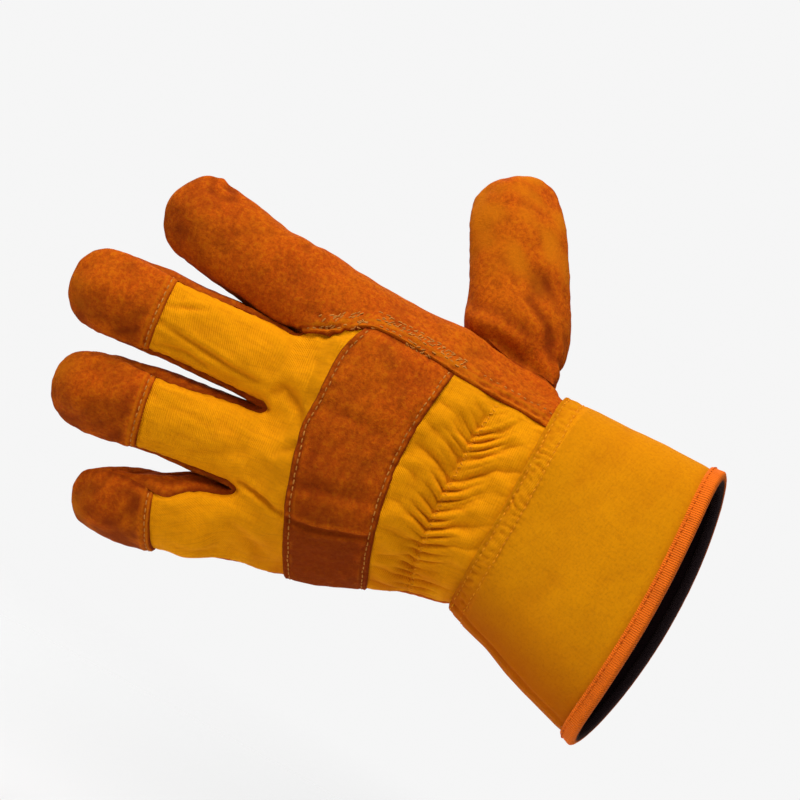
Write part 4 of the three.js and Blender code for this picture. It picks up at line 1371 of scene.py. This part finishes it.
def leather_relief(patch, make, seed):
    """Height of a suede piece: turned seams sunk, lapped edges raised and rounded, soft dents and folds."""
    turned, over = patch.distance("turned"), patch.distance("over")
    on_palm = patch.limb == "hand"
    height = np.full(len(patch.co), make.leather_proud)
    height += uneven(patch, seed, pitch=24 * MM, height=0.5 * MM) * clear_of(turned, 7 * MM)
    height += uneven(patch, seed + 1, pitch=7 * MM, height=0.12 * MM)
    height += fold_relief(patch) * clear_of(over, 3 * MM)
    height -= turned_groove(patch, make) * bump(turned, make.seam_reach)
    height += ridge(turned, at=4.0 * MM, height=0.25 * MM, reach=2.4 * MM) * np.where(on_palm, 1, 0.5)
    lift = make.leather_wall * 0.6 * np.where(on_palm, smoothstep(patch.grid[:, 1], 3.0, 3.8), 0.6)
    lift = lift * clear_of(turned, 5 * MM)
    height += lift * (1 - smoothstep(over, 3 * MM, 8 * MM))
    height -= ridge(over, at=make.stitch_inset, height=0.4 * MM, reach=0.8 * MM)
    height += ridge(over, at=1.7 * make.stitch_inset, height=0.15 * MM, reach=0.9 * MM)
    height -= (lift + make.leather_proud * 0.5) * round_over(over, 1.0 * MM)
    pucker = Waves(seed + 2, 4.5 * MM)(patch.co) * np.where(on_palm, 0.2 * MM, 0.1 * MM)
    beside_seams = bump(turned - 2 * MM, 3 * MM) + bump(over - 2 * MM, 3 * MM)
    height += pucker * (beside_seams + 1.5 * on_palm * bump(over - 6 * MM, 4 * MM))
    return under_cuff(patch, height)


def turned_groove(patch, make):
    """Depth of the turned seams: shallow on the index finger and at the fingertips."""
    tip = smoothstep(patch.grid[:, 1], 3.2, LAST_BAND)
    on_finger = np.where(patch.limb == "index", 0.45, 0.7) * mix(1, 0.5, tip)
    off_hand = np.where(patch.limb == "thumb", 0.7, on_finger)
    return make.seam_depth * np.where(patch.limb == "hand", 1, off_hand)


# How high the relief may rise under the cuff
UNDER_CUFF = 0.2 * MM
# How deep the inner faces lie under the net, in walls of the leather and the cloth
LEATHER_FILL = 1.6
CLOTH_FILL = 1.8
# Height of the strap's inner face
STRAP_FLOOR = -0.3 * MM


def under_cuff(patch, height):
    """Keeps what lies under the cuff flat, so that the cuff covers it."""
    covered = (patch.limb == "hand") & (patch.grid[:, 1] < RING_AT["cuff_edge"])
    return np.where(covered, np.minimum(height, UNDER_CUFF), height)


class GLOVE_OT_leather(bpy.types.Operator):
    """Sew the palm, the finger fronts, the thumb, the fingertips' caps and the strips between fingers"""

    bl_idname = "glove.leather"
    bl_label = "Suede pieces"

    def execute(self, context):
        make = context.scene.glove_make
        for seed, name in enumerate(LEATHER_NODES + FOURCHETTES):
            patch = base_patch(context, name)
            height = leather_relief(patch, make, 20 + 5 * seed)
            # The strips between the fingers are a darker suede, with painted shade deeper in the webs; the
            # other pieces take painted shade on their shaded sides
            in_web = 0.45 + 0.3 * (1 - smoothstep(patch.grid[:, 1], 0, 2))
            shade = in_web if name in FOURCHETTES else painted_suede_shade(patch)
            worn, floor = tip_wear(patch, make), -make.leather_wall * LEATHER_FILL
            sew(context, patch, height, floor, shop["suede"], worn=worn, shade=shade)
        return {"FINISHED"}


def tip_wear(patch, make):
    """Rubbing on the fingertips, the thumb and the lapped seams."""
    on_limb = patch.limb != "hand"
    worn = np.where(on_limb, smoothstep(patch.grid[:, 1], 3.2, 5.4) * 0.5, 0.0)
    worn = np.where(patch.limb == "index", 0, worn)
    worn = np.where(patch.limb == "thumb", 0.2 + smoothstep(patch.grid[:, 1], 1.5, 4.2) * 0.7, worn)
    worn = worn * (0.7 + 0.6 * Waves(91, 14 * MM)(patch.co))
    over = patch.distance("over")
    rubbed = bump(over - 0.5 * make.stitch_inset, 0.6 * MM)
    rubbed = rubbed + bump(over - 1.55 * make.stitch_inset, 0.7 * MM)
    strip = (patch.limb == "hand") * smoothstep(patch.grid[:, 1], 5.2, 6.0) * bump(over - 5 * MM, 4 * MM)
    worn += 0.9 * strip * np.clip(Waves(95, 3.6 * MM)(patch.co), 0, 1)
    return np.clip(worn + 0.75 * rubbed, 0, 1)


# Painted shade on the far, lower side of the capped fingertips, by finger, and spots of it in the thumb's
# dent and crease
TIP_SHADE = {"middle": 0, "ring": 0.25, "little": 0.6}
SHADE_SPOTS = [Swell("thumb", (0.4, 2.3), 0.55, 9 * MM), Swell("thumb", (0.2, 0.9), 0.55, 8 * MM)]


def painted_suede_shade(patch):
    """Darker suede: painted shade on the far, lower side of three fingertips, under the index finger near
    its root and in the thumb's dent and crease; the index finger also darkens towards its tip.
    """
    column, ring = patch.grid[:, 0], patch.grid[:, 1]
    column = np.where(column > 6, column - LIMB_SIDES, column)
    capped = np.isin(patch.limb, list(TIP_SHADE))
    darkening = 0.7 * smoothstep(column, 0.7, 2.0)
    for limb, share in TIP_SHADE.items():
        darkening += share * (patch.limb == limb)
    darkening *= capped * smoothstep(ring, 2.2, 3.2) * (1 - smoothstep(np.abs(column - 1), 1.4, 2.2))
    under = smoothstep(column, 1.4, 2.8) * (1 - smoothstep(column, 3.6, 4.6))
    under *= smoothstep(ring, 0, 0.7) * (1 - smoothstep(ring, 2.2, 4.0))
    darkening += (patch.limb == "index") * (0.4 * smoothstep(ring, 2.4, 4.2) + 0.7 * under)
    darkening *= 0.75 + 0.4 * Waves(93, 11 * MM)(patch.co)
    for spot in SHADE_SPOTS:
        middle = place_of(patch, spot.limb, spot.spot)
        if middle is not None:
            darkening += spot.height * bump(np.linalg.norm(patch.co - middle, axis=1), spot.reach)
    return darkening


class GLOVE_OT_back(bpy.types.Operator):
    """Sew the cotton back with its gathers and folds"""

    bl_idname = "glove.back"
    bl_label = "Cotton back"

    def execute(self, context):
        cut, make = context.scene.glove_cut, context.scene.glove_make
        patch = base_patch(context, "back_cloth", "fine")
        turned, under = patch.distance("turned"), patch.distance("under")
        height = fold_relief(patch) * clear_of(turned, 3 * MM)
        loose = np.where(patch.limb == "hand", 1.0, 0.7)
        height += uneven(patch, 60, pitch=17 * MM, height=0.5 * MM) * clear_of(turned, 6 * MM) * loose
        height += uneven(patch, 61, pitch=6 * MM, height=0.14 * MM, stretch=(2.5, 1, 1))
        ring = patch.grid[:, 1]
        beneath = (patch.limb == "hand") & (ring > RING_AT["strap_near"]) & (ring < RING_AT["strap_far"])
        height = np.where(beneath, np.minimum(height, 0) - 0.2 * MM, height)
        height += np.where(beneath, 0, gather_relief(patch, cut, make))
        height -= turned_groove(patch, make) * 0.8 * bump(turned, make.seam_reach)
        height += ridge(turned, at=3.6 * MM, height=0.2 * MM, reach=2.2 * MM)
        height -= 0.35 * MM * bump(under, 1.6 * MM)
        pucker = Waves(62, 3.6 * MM)(patch.co) * 0.14 * MM
        height += pucker * (bump(turned, 4 * MM) + bump(under, 5 * MM)) * clear_of(under, 1.5 * MM)
        inside = Patch(shop["skin"], "back_cloth", lambda face: base_piece(face) == "back_cloth")
        # Painted shade: the cloth turns tan and darker towards the little finger's side, which faces away
        # from the light, fading before the knuckles
        low_side_shade = (patch.limb == "hand") * smoothstep(patch.grid[:, 0], 6.8, 9.6)
        low_side_shade = low_side_shade * (1 - smoothstep(ring, 7.4, 8.9))
        worn = np.clip((0.4 + 0.25 * Waves(63, 13 * MM)(patch.co)) * low_side_shade, 0, 1)
        height, floor = under_cuff(patch, height), -make.cloth_wall * CLOTH_FILL
        sew(context, patch, height, floor, shop["drill"], worn=worn, inside=inside)
        return {"FINISHED"}


class GLOVE_OT_strap(bpy.types.Operator):
    """Sew the suede band over the knuckles' back"""

    bl_idname = "glove.strap"
    bl_label = "Knuckle strap"

    def execute(self, context):
        make = context.scene.glove_make
        patch = Patch(workshop(context)["fine"], "knuckle_strap", is_strap)
        patch.tuck(lambda column, ring: (column < SEAM_COLUMN + 0.01) | (column > LITTLE_EDGE - 0.01))
        shop["patches"]["knuckle_strap"] = patch
        over, tucked = patch.distance("over"), patch.distance("tucked")
        height = np.full(len(patch.co), make.play + make.leather_wall)
        height += uneven(patch, 70, pitch=21 * MM, height=0.4 * MM)
        height += uneven(patch, 71, pitch=6 * MM, height=0.12 * MM)
        height += fold_relief(patch)
        height -= ridge(over, at=make.stitch_inset, height=0.4 * MM, reach=1.0 * MM)
        height += uneven(patch, 72, pitch=4 * MM, height=0.22 * MM) * bump(over - 1.5 * MM, 2 * MM)
        height = np.maximum(height, 0.9 * MM)
        height -= (make.leather_wall * 0.6) * round_over(over, 1.1 * MM)
        height -= 1.3 * MM * bump(tucked, 2.2 * MM)
        column, ring = patch.grid[:, 0], patch.grid[:, 1]
        # Painted shade: darker past the fold on the strap's lower side, towards its middle, along its edges
        # and towards its far edge
        shade = 0.6 * smoothstep(column, 7.25, 7.45) + 0.45 * smoothstep(column, 3.5, 6.5)
        shade += 0.5 * bump(over, 1.5 * MM) + 0.35 * smoothstep(ring, 6.2, 7.1)
        patchy = np.clip(0.6 + Waves(74, 7 * MM)(patch.co), 0, 1)
        worn = patchy * ridge(over, at=1.6 * make.stitch_inset, height=0.45, reach=0.8 * MM)
        sew(context, patch, height, STRAP_FLOOR, shop["strap_suede"], worn=worn, shade=shade)
        return {"FINISHED"}


class GLOVE_OT_patch(bpy.types.Operator):
    """Sew the second layer of suede on the palm"""

    bl_idname = "glove.patch"
    bl_label = "Palm patch"

    def execute(self, context):
        make = context.scene.glove_make
        patch = Patch(workshop(context)["skin"], "palm_patch", is_patch)
        patch.tuck(lambda column, ring: ring < RING_AT["cuff_edge"] + 0.01)
        shop["patches"]["palm_patch"] = patch
        over = patch.distance("over")
        height = np.full(len(patch.co), make.leather_proud + make.play + make.leather_wall)
        height += uneven(patch, 80, pitch=25 * MM, height=0.45 * MM)
        height += uneven(patch, 81, pitch=7 * MM, height=0.16 * MM)
        height += fold_relief(patch) * clear_of(over, 3 * MM)
        height -= ridge(over, at=make.stitch_inset, height=0.4 * MM, reach=1.0 * MM)
        height -= ridge(over, at=make.stitch_inset * 3, height=0.3 * MM, reach=1.0 * MM)
        height -= (make.leather_wall * 0.7) * round_over(over, 1.1 * MM)
        worn = np.clip(0.35 + 0.5 * Waves(83, 30 * MM)(patch.co), 0, 1) * 0.5
        sew(context, patch, height, 0, shop["suede"], worn=worn)
        return {"FINISHED"}


# Rows of stitches in from the cuff's sewn edge, the tucks' pitch there, and the lining's and tape's walls
CUFF_ROWS = (2.0 * MM, 8.0 * MM)
TUCK_PITCH = 3.3 * MM
LINING_WALL = 1.0 * MM
TAPE_WALL = 0.9 * MM


class GLOVE_OT_cuff(bpy.types.Operator):
    """Sew the cuff with its lining and its binding"""

    bl_idname = "glove.cuff"
    bl_label = "Cuff"

    def execute(self, context):
        make = context.scene.glove_make
        base = make.leather_proud + make.play
        patch = Patch(workshop(context)["skin"], "cuff", is_cuff)
        patch.tuck(lambda column, ring: column < 0)
        shop["patches"]["cuff"] = patch
        over, rim = patch.distance("over"), patch.distance("rim")
        height = np.full(len(patch.co), base + make.cuff_wall)
        height += uneven(patch, 40, pitch=34 * MM, height=0.35 * MM)
        height += uneven(patch, 41, pitch=9 * MM, height=0.06 * MM)
        around = patch.weave[:, 0] + uneven(patch, 43, pitch=12 * MM, height=1.2 * MM)
        tucks = np.sin(around * 2 * math.pi / TUCK_PITCH) * (0.7 + 0.5 * Waves(42, 9 * MM)(patch.co))
        height += 0.3 * MM * tucks * bump(over - 5 * MM, 4.5 * MM)
        height += uneven(patch, 45, pitch=3.2 * MM, height=0.18 * MM) * bump(over - 4 * MM, 6 * MM)
        height += fold_relief(patch) * clear_of(rim, 6 * MM)
        height -= 0.4 * MM * sum(bump(over - inset, 0.9 * MM) for inset in CUFF_ROWS)
        height -= 1.0 * MM * round_over(over, 1.0 * MM)
        height -= ridge(rim, at=make.binding_reach, height=0.4 * MM, reach=1.2 * MM)
        column = patch.grid[:, 0]
        # Painted shade on the cuff's far, lower side; the cuff is also darker towards the thumb's side, and
        # worn in mottled patches along its sewn edge
        far_side = smoothstep(column, 5.8, 9.6) * (1 - smoothstep(column, 10.0, 13.5))
        sewn_edge = 0.25 * bump(over, 7 * MM) * np.clip(0.6 + 0.6 * Waves(46, 8 * MM)(patch.co), 0, 1)
        near_side = 0.2 * (1 - smoothstep(np.minimum(column, AROUND - column), 1.0, 4.0))
        worn = 0.95 * far_side + near_side + sewn_edge
        sew(context, patch, height, base, shop["canvas"], worn=worn)
        lining = base_patch(context, "cuff_lining")
        plain = np.full(len(lining.co), base - make.play) + 0.1 * MM * Waves(44, 12 * MM)(lining.co)
        sew(context, lining, plain, base - make.play - LINING_WALL, shop["lining"])
        self.bind(context, patch, make, base)
        return {"FINISHED"}

    def bind(self, context, patch, make, base):
        """The tape folded round the mouth's edge, a soft U in section."""
        run = patch.chains("rim")[0]
        line, normal = patch.co[run], patch.normal[run]
        if np.linalg.norm(line[0] - line[-1]) < SAME_PLACE:
            line, normal = line[:-1], normal[:-1]
        ahead = np.roll(line, -1, axis=0) - np.roll(line, 1, axis=0)
        out = np.cross(ahead, normal)
        out /= np.linalg.norm(out, axis=1)[:, None]
        outside, inside = base + make.cuff_wall + make.play, base - 2 * make.play - LINING_WALL
        reach, tape = make.binding_reach - 1 * MM, TAPE_WALL
        # Heights over the net and places along the cuff, from the outside over the edge to the inside
        section = [(outside - 0.2 * MM, -reach), (outside + tape * 0.6, -reach - 0.1 * MM)]
        section.append((outside + tape, -reach + 0.7 * MM))
        section += [(outside + tape * s, -reach * t) for s, t in ((0.82, 0.66), (0.92, 0.4), (1.0, 0.15))]
        middle, half = (outside + inside) / 2, (outside - inside) / 2 + tape
        turns = np.linspace(0.1, math.pi - 0.1, 9)
        section += [(middle + half * math.cos(a), (1.3 * MM) * math.sin(a)) for a in turns]
        section += [(inside - tape * s, -reach * t) for s, t in ((0.7, 0.3), (0.5, 0.5), (0.0, 0.55))]
        up = np.array([s[0] for s in section])
        along = np.array([s[1] for s in section])
        verts = line[:, None] + normal[:, None] * up[None, :, None] + out[:, None] * along[None, :, None]
        fuzz = 0.1 * MM * Waves(47, 5 * MM)(verts.reshape(-1, 3)).reshape(verts.shape[:2])
        verts = verts + normal[:, None] * fuzz[..., None]
        count, rings = len(section), len(line)
        here = np.arange(rings)[:, None] * count + np.arange(count - 1)[None]
        there = (np.arange(rings)[:, None] + 1) % rings * count + np.arange(count - 1)[None]
        faces = np.stack([here, there, there + 1, here + 1], axis=-1).reshape(-1, 4)
        marks = np.concatenate([[0], np.cumsum(np.linalg.norm(np.diff(line, axis=0), axis=1))])
        marks = np.append(marks, marks[-1] + np.linalg.norm(line[0] - line[-1]))

        def spot(i, k):
            pair = np.broadcast_arrays(marks[i][:, None], along[k])
            return np.stack(pair, axis=-1)

        order = np.arange(rings)
        k = np.arange(count - 1)
        corners = [spot(order, k), spot(order + 1, k), spot(order + 1, k + 1), spot(order, k + 1)]
        weave = np.stack(corners, axis=2)
        # Painted shade: the binding's inner side is marked to take the dark lining's colour
        shaded = np.tile(smoothstep(middle + 0.15 * half - up, 0, half * 0.5), rings)
        shade_marks = {"worn": shaded, "cavity": np.zeros(len(shaded))}
        verts = verts.reshape(-1, 3)
        piece = add_mesh(
            context, "cuff_binding_worn", verts, faces, shop["tape"], weave.reshape(-1, 2), shade_marks, sharp=70
        )
        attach(piece, "root")
        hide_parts("cuff_binding")
        shop["binding"] = (line, normal, out, outside + tape)


# Rows along the side strip's lapped edge, between two rings
SideRow = namedtuple("SideRow", "inset rings pitch slant stretch wander", defaults=(0.0, 1.0, 0.12 * MM))
SIDE_ROWS = [
    SideRow(1.7 * MM, (6.5, ALL_RINGS[1]), 2.9 * MM, stretch=0.8),
    SideRow(6.4 * MM, (RING_AT["cuff_edge"], 5.6), 3.0 * MM, stretch=0.7),
    SideRow(4.0 * MM, (5.9, 6.9), 2.6 * MM, wander=0.35 * MM),
    SideRow(8.6 * MM, (5.9, 6.9), 2.6 * MM, wander=0.35 * MM),
    SideRow(5.6 * MM, (5.9, 6.8), 2.2 * MM, slant=1.0, wander=0.5 * MM),
    SideRow(7.2 * MM, (5.9, 6.8), 2.2 * MM, slant=1.0, wander=0.5 * MM),
    SideRow(4.2 * MM, (7.0, 8.5), 2.4 * MM, slant=0.5, wander=0.4 * MM),
    SideRow(6.4 * MM, (7.0, 8.5), 2.4 * MM, slant=0.5, wander=0.4 * MM),
    SideRow(5.3 * MM, (7.0, 7.4), 1.6 * MM, slant=1.4, stretch=2.0),
]


class GLOVE_OT_stitches(bpy.types.Operator):
    """Sew the rows of stitches that show"""

    bl_idname = "glove.stitches"
    bl_label = "Stitches"
    # The elastic's ring, how near to it a point counts and its gap at the sides
    ELASTIC_RING = 4.9
    RING_REACH = 0.04
    SIDE_GAP = 0.1
    # How many points of its line are averaged, and one in how many is kept
    SMOOTHING = 9
    THINNING = 3

    def execute(self, context):
        make, patches = context.scene.glove_make, workshop(context)["patches"]
        strap = Thread(make, 1)
        strap.edge_row(patches["knuckle_strap"], "over", inset=make.stitch_inset)
        strap.piece(context, "stitches_strap", shop["thread"])
        caps = Thread(make, 2)
        for name in ("middle_cap", "ring_cap", "little_cap"):
            caps.edge_row(patches[name], "over", inset=make.stitch_inset * 0.8)
        caps.piece(context, "stitches_caps", shop["thread"])
        side = Thread(make, 3)
        leather = patches["palm_leather"]
        for row in SIDE_ROWS:
            side.edge_row(leather, "over", **row._asdict())
        side.tangle(leather, (6.25, 6.5), inset=1.0 * MM, count=16, reach=0.6 * MM)
        side.tangle(leather, (6.95, 7.25), inset=2.2 * MM, count=10, reach=1.2 * MM)
        side.piece(context, "stitches_side_seam", shop["thread"])
        self.elastic(context, make, patches["back_cloth"])
        palm = Thread(make, 4)
        for inset in (make.stitch_inset, make.stitch_inset * 3):
            palm.edge_row(patches["palm_patch"], "over", inset=inset)
        palm.piece(context, "stitches_palm", shop["thread"])
        cuff = Thread(make, 5)
        for inset in CUFF_ROWS:
            cuff.edge_row(patches["cuff"], "over", inset=inset, pitch=2.7 * MM, stretch=0.85)
        cuff.piece(context, "stitches_cuff", shop["yellow_thread"])
        tape = Thread(make, 6)
        line, normal, out, up = shop["binding"]
        row = line + normal * up - out * (make.binding_reach - 2.2 * MM)
        tape.free_row(np.concatenate([row, row[:1]]), np.concatenate([normal, normal[:1]]), 2.6 * MM)
        tape.piece(context, "stitches_binding", shop["orange_thread"])
        return {"FINISHED"}

    def elastic(self, context, make, patch):
        """The zigzag that holds the elastic under the cloth."""
        thread = Thread(make, 7)
        column, ring = patch.grid[:, 0], patch.grid[:, 1]
        near = (patch.limb == "hand") & (np.abs(ring - self.ELASTIC_RING) < self.RING_REACH)
        near &= (column > SEAM_COLUMN + self.SIDE_GAP) & (column < LITTLE_EDGE - self.SIDE_GAP)
        order = np.flatnonzero(near)[np.argsort(patch.grid[near, 0])]
        line = patch.outer[order]
        kernel = np.ones(self.SMOOTHING) / self.SMOOTHING
        line = np.stack([np.convolve(line[:, k], kernel, mode="valid") for k in range(3)], axis=1)
        thread.row(patch.surface, line[:: self.THINNING], pitch=1.9 * MM, turn=1.0, stretch=0.8)
        thread.piece(context, "stitches_elastic", shop["yellow_thread"])


class GloveStage(bpy.types.PropertyGroup):
    """Floor, light and camera"""

    view_turn: FloatProperty(
        name="View turn",
        description="Camera's turn round the glove",
        default=math.radians(15),
        subtype="ANGLE"
    )
    view_rise: FloatProperty(
        name="View rise", description="Camera's height angle", default=0, subtype="ANGLE"
    )
    view_roll: FloatProperty(
        name="View roll", description="Camera's lean", default=math.radians(29.4), subtype="ANGLE"
    )
    distance: length("Distance", "From the camera to the glove", 1.6)
    field: length("Field", "Width of the picture at the glove", 0.32)
    floor_drop: length("Floor drop", "From the glove's lowest point to the floor", 0.14)
    floor_span: length("Floor span", "Width of the floor", 5.0)
    key_power: FloatProperty(
        name="Key light", description="Power of the main light", default=20.0, min=0, unit="POWER"
    )
    fill_power: FloatProperty(
        name="Fill light", description="Power of the light from the side", default=0.5, min=0, unit="POWER"
    )
    back_power: FloatProperty(
        name="Back light", description="Power of the light on the palm", default=9.0, min=0, unit="POWER"
    )
    sky: FloatProperty(name="Sky", description="Strength of the light from all sides", default=0.31, min=0)
    backdrop: FloatProperty(
        name="Backdrop", description="Brightness of the plain background", default=0.92, min=0
    )


# Where each lamp stands from the glove, in metres along the camera's axes, and its width
Lamp = namedtuple("Lamp", "name away up right size power")
LAMPS = [
    Lamp("key", 0.5, 1.1, 0.25, 0.8, "key_power"),
    Lamp("side", 0.5, 0.2, -1.1, 0.8, "fill_power"),
    Lamp("back", -1.2, 0.7, -0.2, 1.0, "back_power"),
]
SENSOR = 36
CLIP_END = 50
# The sky's light is dimmed to a share of itself below the first height and full from the second
SKY_DIM, SKY_FULL, SKY_SHARE = -1.0, 0.4, 0.2


class GLOVE_OT_stage(bpy.types.Operator):
    """Set the floor, the lights and the camera"""

    bl_idname = "glove.stage"
    bl_label = "Stage"

    def execute(self, context):
        scene, stage = context.scene, context.scene.glove_stage
        low, high = (Vector(v) for v in FRAME_BOX)
        centre = (low + high) / 2
        self.floor(context, low.z - stage.floor_drop)
        turn, rise, roll = stage.view_turn, stage.view_rise, stage.view_roll
        away = Vector((math.sin(turn) * math.cos(rise), -math.cos(turn) * math.cos(rise), math.sin(rise)))
        level = Vector((math.cos(turn), math.sin(turn), 0))
        right = level * math.cos(roll) + away.cross(level) * math.sin(roll)
        up = away.cross(right)
        camera = bpy.data.objects.new("camera", bpy.data.cameras.new("camera"))
        camera.data.sensor_width = SENSOR
        camera.data.lens = SENSOR * stage.distance / stage.field
        camera.data.clip_end = CLIP_END
        basis = Matrix((right, up, away)).transposed().to_4x4()
        camera.matrix_world = Matrix.Translation(centre + away * stage.distance) @ basis
        scene.collection.objects.link(camera)
        scene.camera = camera
        for lamp in LAMPS:
            offset = away * lamp.away + up * lamp.up + right * lamp.right
            light = bpy.data.lights.new(lamp.name, "AREA")
            light.energy = getattr(stage, lamp.power)
            light.size = lamp.size
            thing = bpy.data.objects.new(lamp.name, light)
            thing.location = centre + offset
            thing.rotation_euler = (-offset).to_track_quat("-Z", "Y").to_euler()
            scene.collection.objects.link(thing)
        world = scene.world or bpy.data.worlds.new("studio")
        scene.world = world
        world.use_nodes = True
        self.sky(world.node_tree, stage)
        scene.view_settings.view_transform = "Standard"
        return {"FINISHED"}

    def sky(self, tree, stage):
        """A soft dome of light, darker underneath, behind which the backdrop shows brighter."""
        nodes, links = tree.nodes, tree.links
        dome = nodes["Background"]
        dome.inputs[0].default_value = (1, 1, 1, 1)
        way, split, ramp = (
            nodes.new(kind)
            for kind in ("ShaderNodeTexCoord", "ShaderNodeSeparateXYZ", "ShaderNodeMapRange")
        )
        links.new(way.outputs["Generated"], split.inputs[0])
        links.new(split.outputs[2], ramp.inputs[0])
        for socket, value in zip((1, 2, 3, 4), (SKY_DIM, SKY_FULL, stage.sky * SKY_SHARE, stage.sky)):
            ramp.inputs[socket].default_value = value
        links.new(ramp.outputs[0], dome.inputs[1])
        backdrop, path, join = (
            nodes.new(kind) for kind in (
                "ShaderNodeBackground", "ShaderNodeLightPath", "ShaderNodeMixShader"
            )
        )
        backdrop.inputs[0].default_value = (1, 1, 1, 1)
        backdrop.inputs[1].default_value = stage.backdrop
        links.new(path.outputs["Is Camera Ray"], join.inputs[0])
        links.new(dome.outputs[0], join.inputs[1])
        links.new(backdrop.outputs[0], join.inputs[2])
        links.new(join.outputs[0], nodes["World Output"].inputs[0])

    def floor(self, context, level):
        half = context.scene.glove_stage.floor_span / 2
        f = Finish("floor", specular=0.2)
        plain = tuple(context.scene.glove_colours.floor)
        shade = f.blend(f.noise(0.4, detail=2, roughness=0.5) * 0.06, plain, tuple(c * 0.9 for c in plain))
        f.finish(shade, 0.9, f.noise(0.002, detail=2, roughness=0.5), 0.02 * MM)
        from_middle = f.node("ShaderNodeVectorMath", dict(operation="LENGTH"), {0: f.place}, "Value")
        f.give(f.shader.inputs["Alpha"], 1 - from_middle.over(0.3, half * 0.6))
        verts = np.array(
            [[-half, -half, level], [half, -half, level], [half, half, level], [-half, half, level]]
        )
        add_mesh(context, "floor", verts, [[0, 1, 2, 3]], f.material, sharp=None)


STEPS = [
    GLOVE_OT_leather,
    GLOVE_OT_back,
    GLOVE_OT_strap,
    GLOVE_OT_patch,
    GLOVE_OT_cuff,
    GLOVE_OT_stitches,
    GLOVE_OT_stage
]
GROUPS = {
    "glove_cut": GloveCut, "glove_make": GloveMake, "glove_colours": GloveColours, "glove_stage": GloveStage
}


class GLOVE_PT_panel(bpy.types.Panel):
    """Sizes, colours and steps of the glove"""

    bl_label = "Rigger glove"
    bl_idname = "GLOVE_PT_panel"
    bl_space_type = "VIEW_3D"
    bl_region_type = "UI"
    bl_category = "Glove"

    def draw(self, context):
        for step in STEPS:
            self.layout.operator(step.bl_idname)
        for key, group in GROUPS.items():
            box = self.layout.box()
            box.label(text=group.__doc__)
            for name in group.__annotations__:
                box.prop(getattr(context.scene, key), name)


def register():
    for kind in [*GROUPS.values(), *STEPS, GLOVE_PT_panel]:
        bpy.utils.register_class(kind)
    for key, group in GROUPS.items():
        setattr(bpy.types.Scene, key, PointerProperty(type=group))


def unregister():
    for key in GROUPS:
        delattr(bpy.types.Scene, key)
    for kind in reversed([*GROUPS.values(), *STEPS, GLOVE_PT_panel]):
        bpy.utils.unregister_class(kind)


def main():
    register()
    for step in STEPS:
        group, name = step.bl_idname.split(".")
        getattr(getattr(bpy.ops, group), name)()


if __name__ == "__main__":
    main()
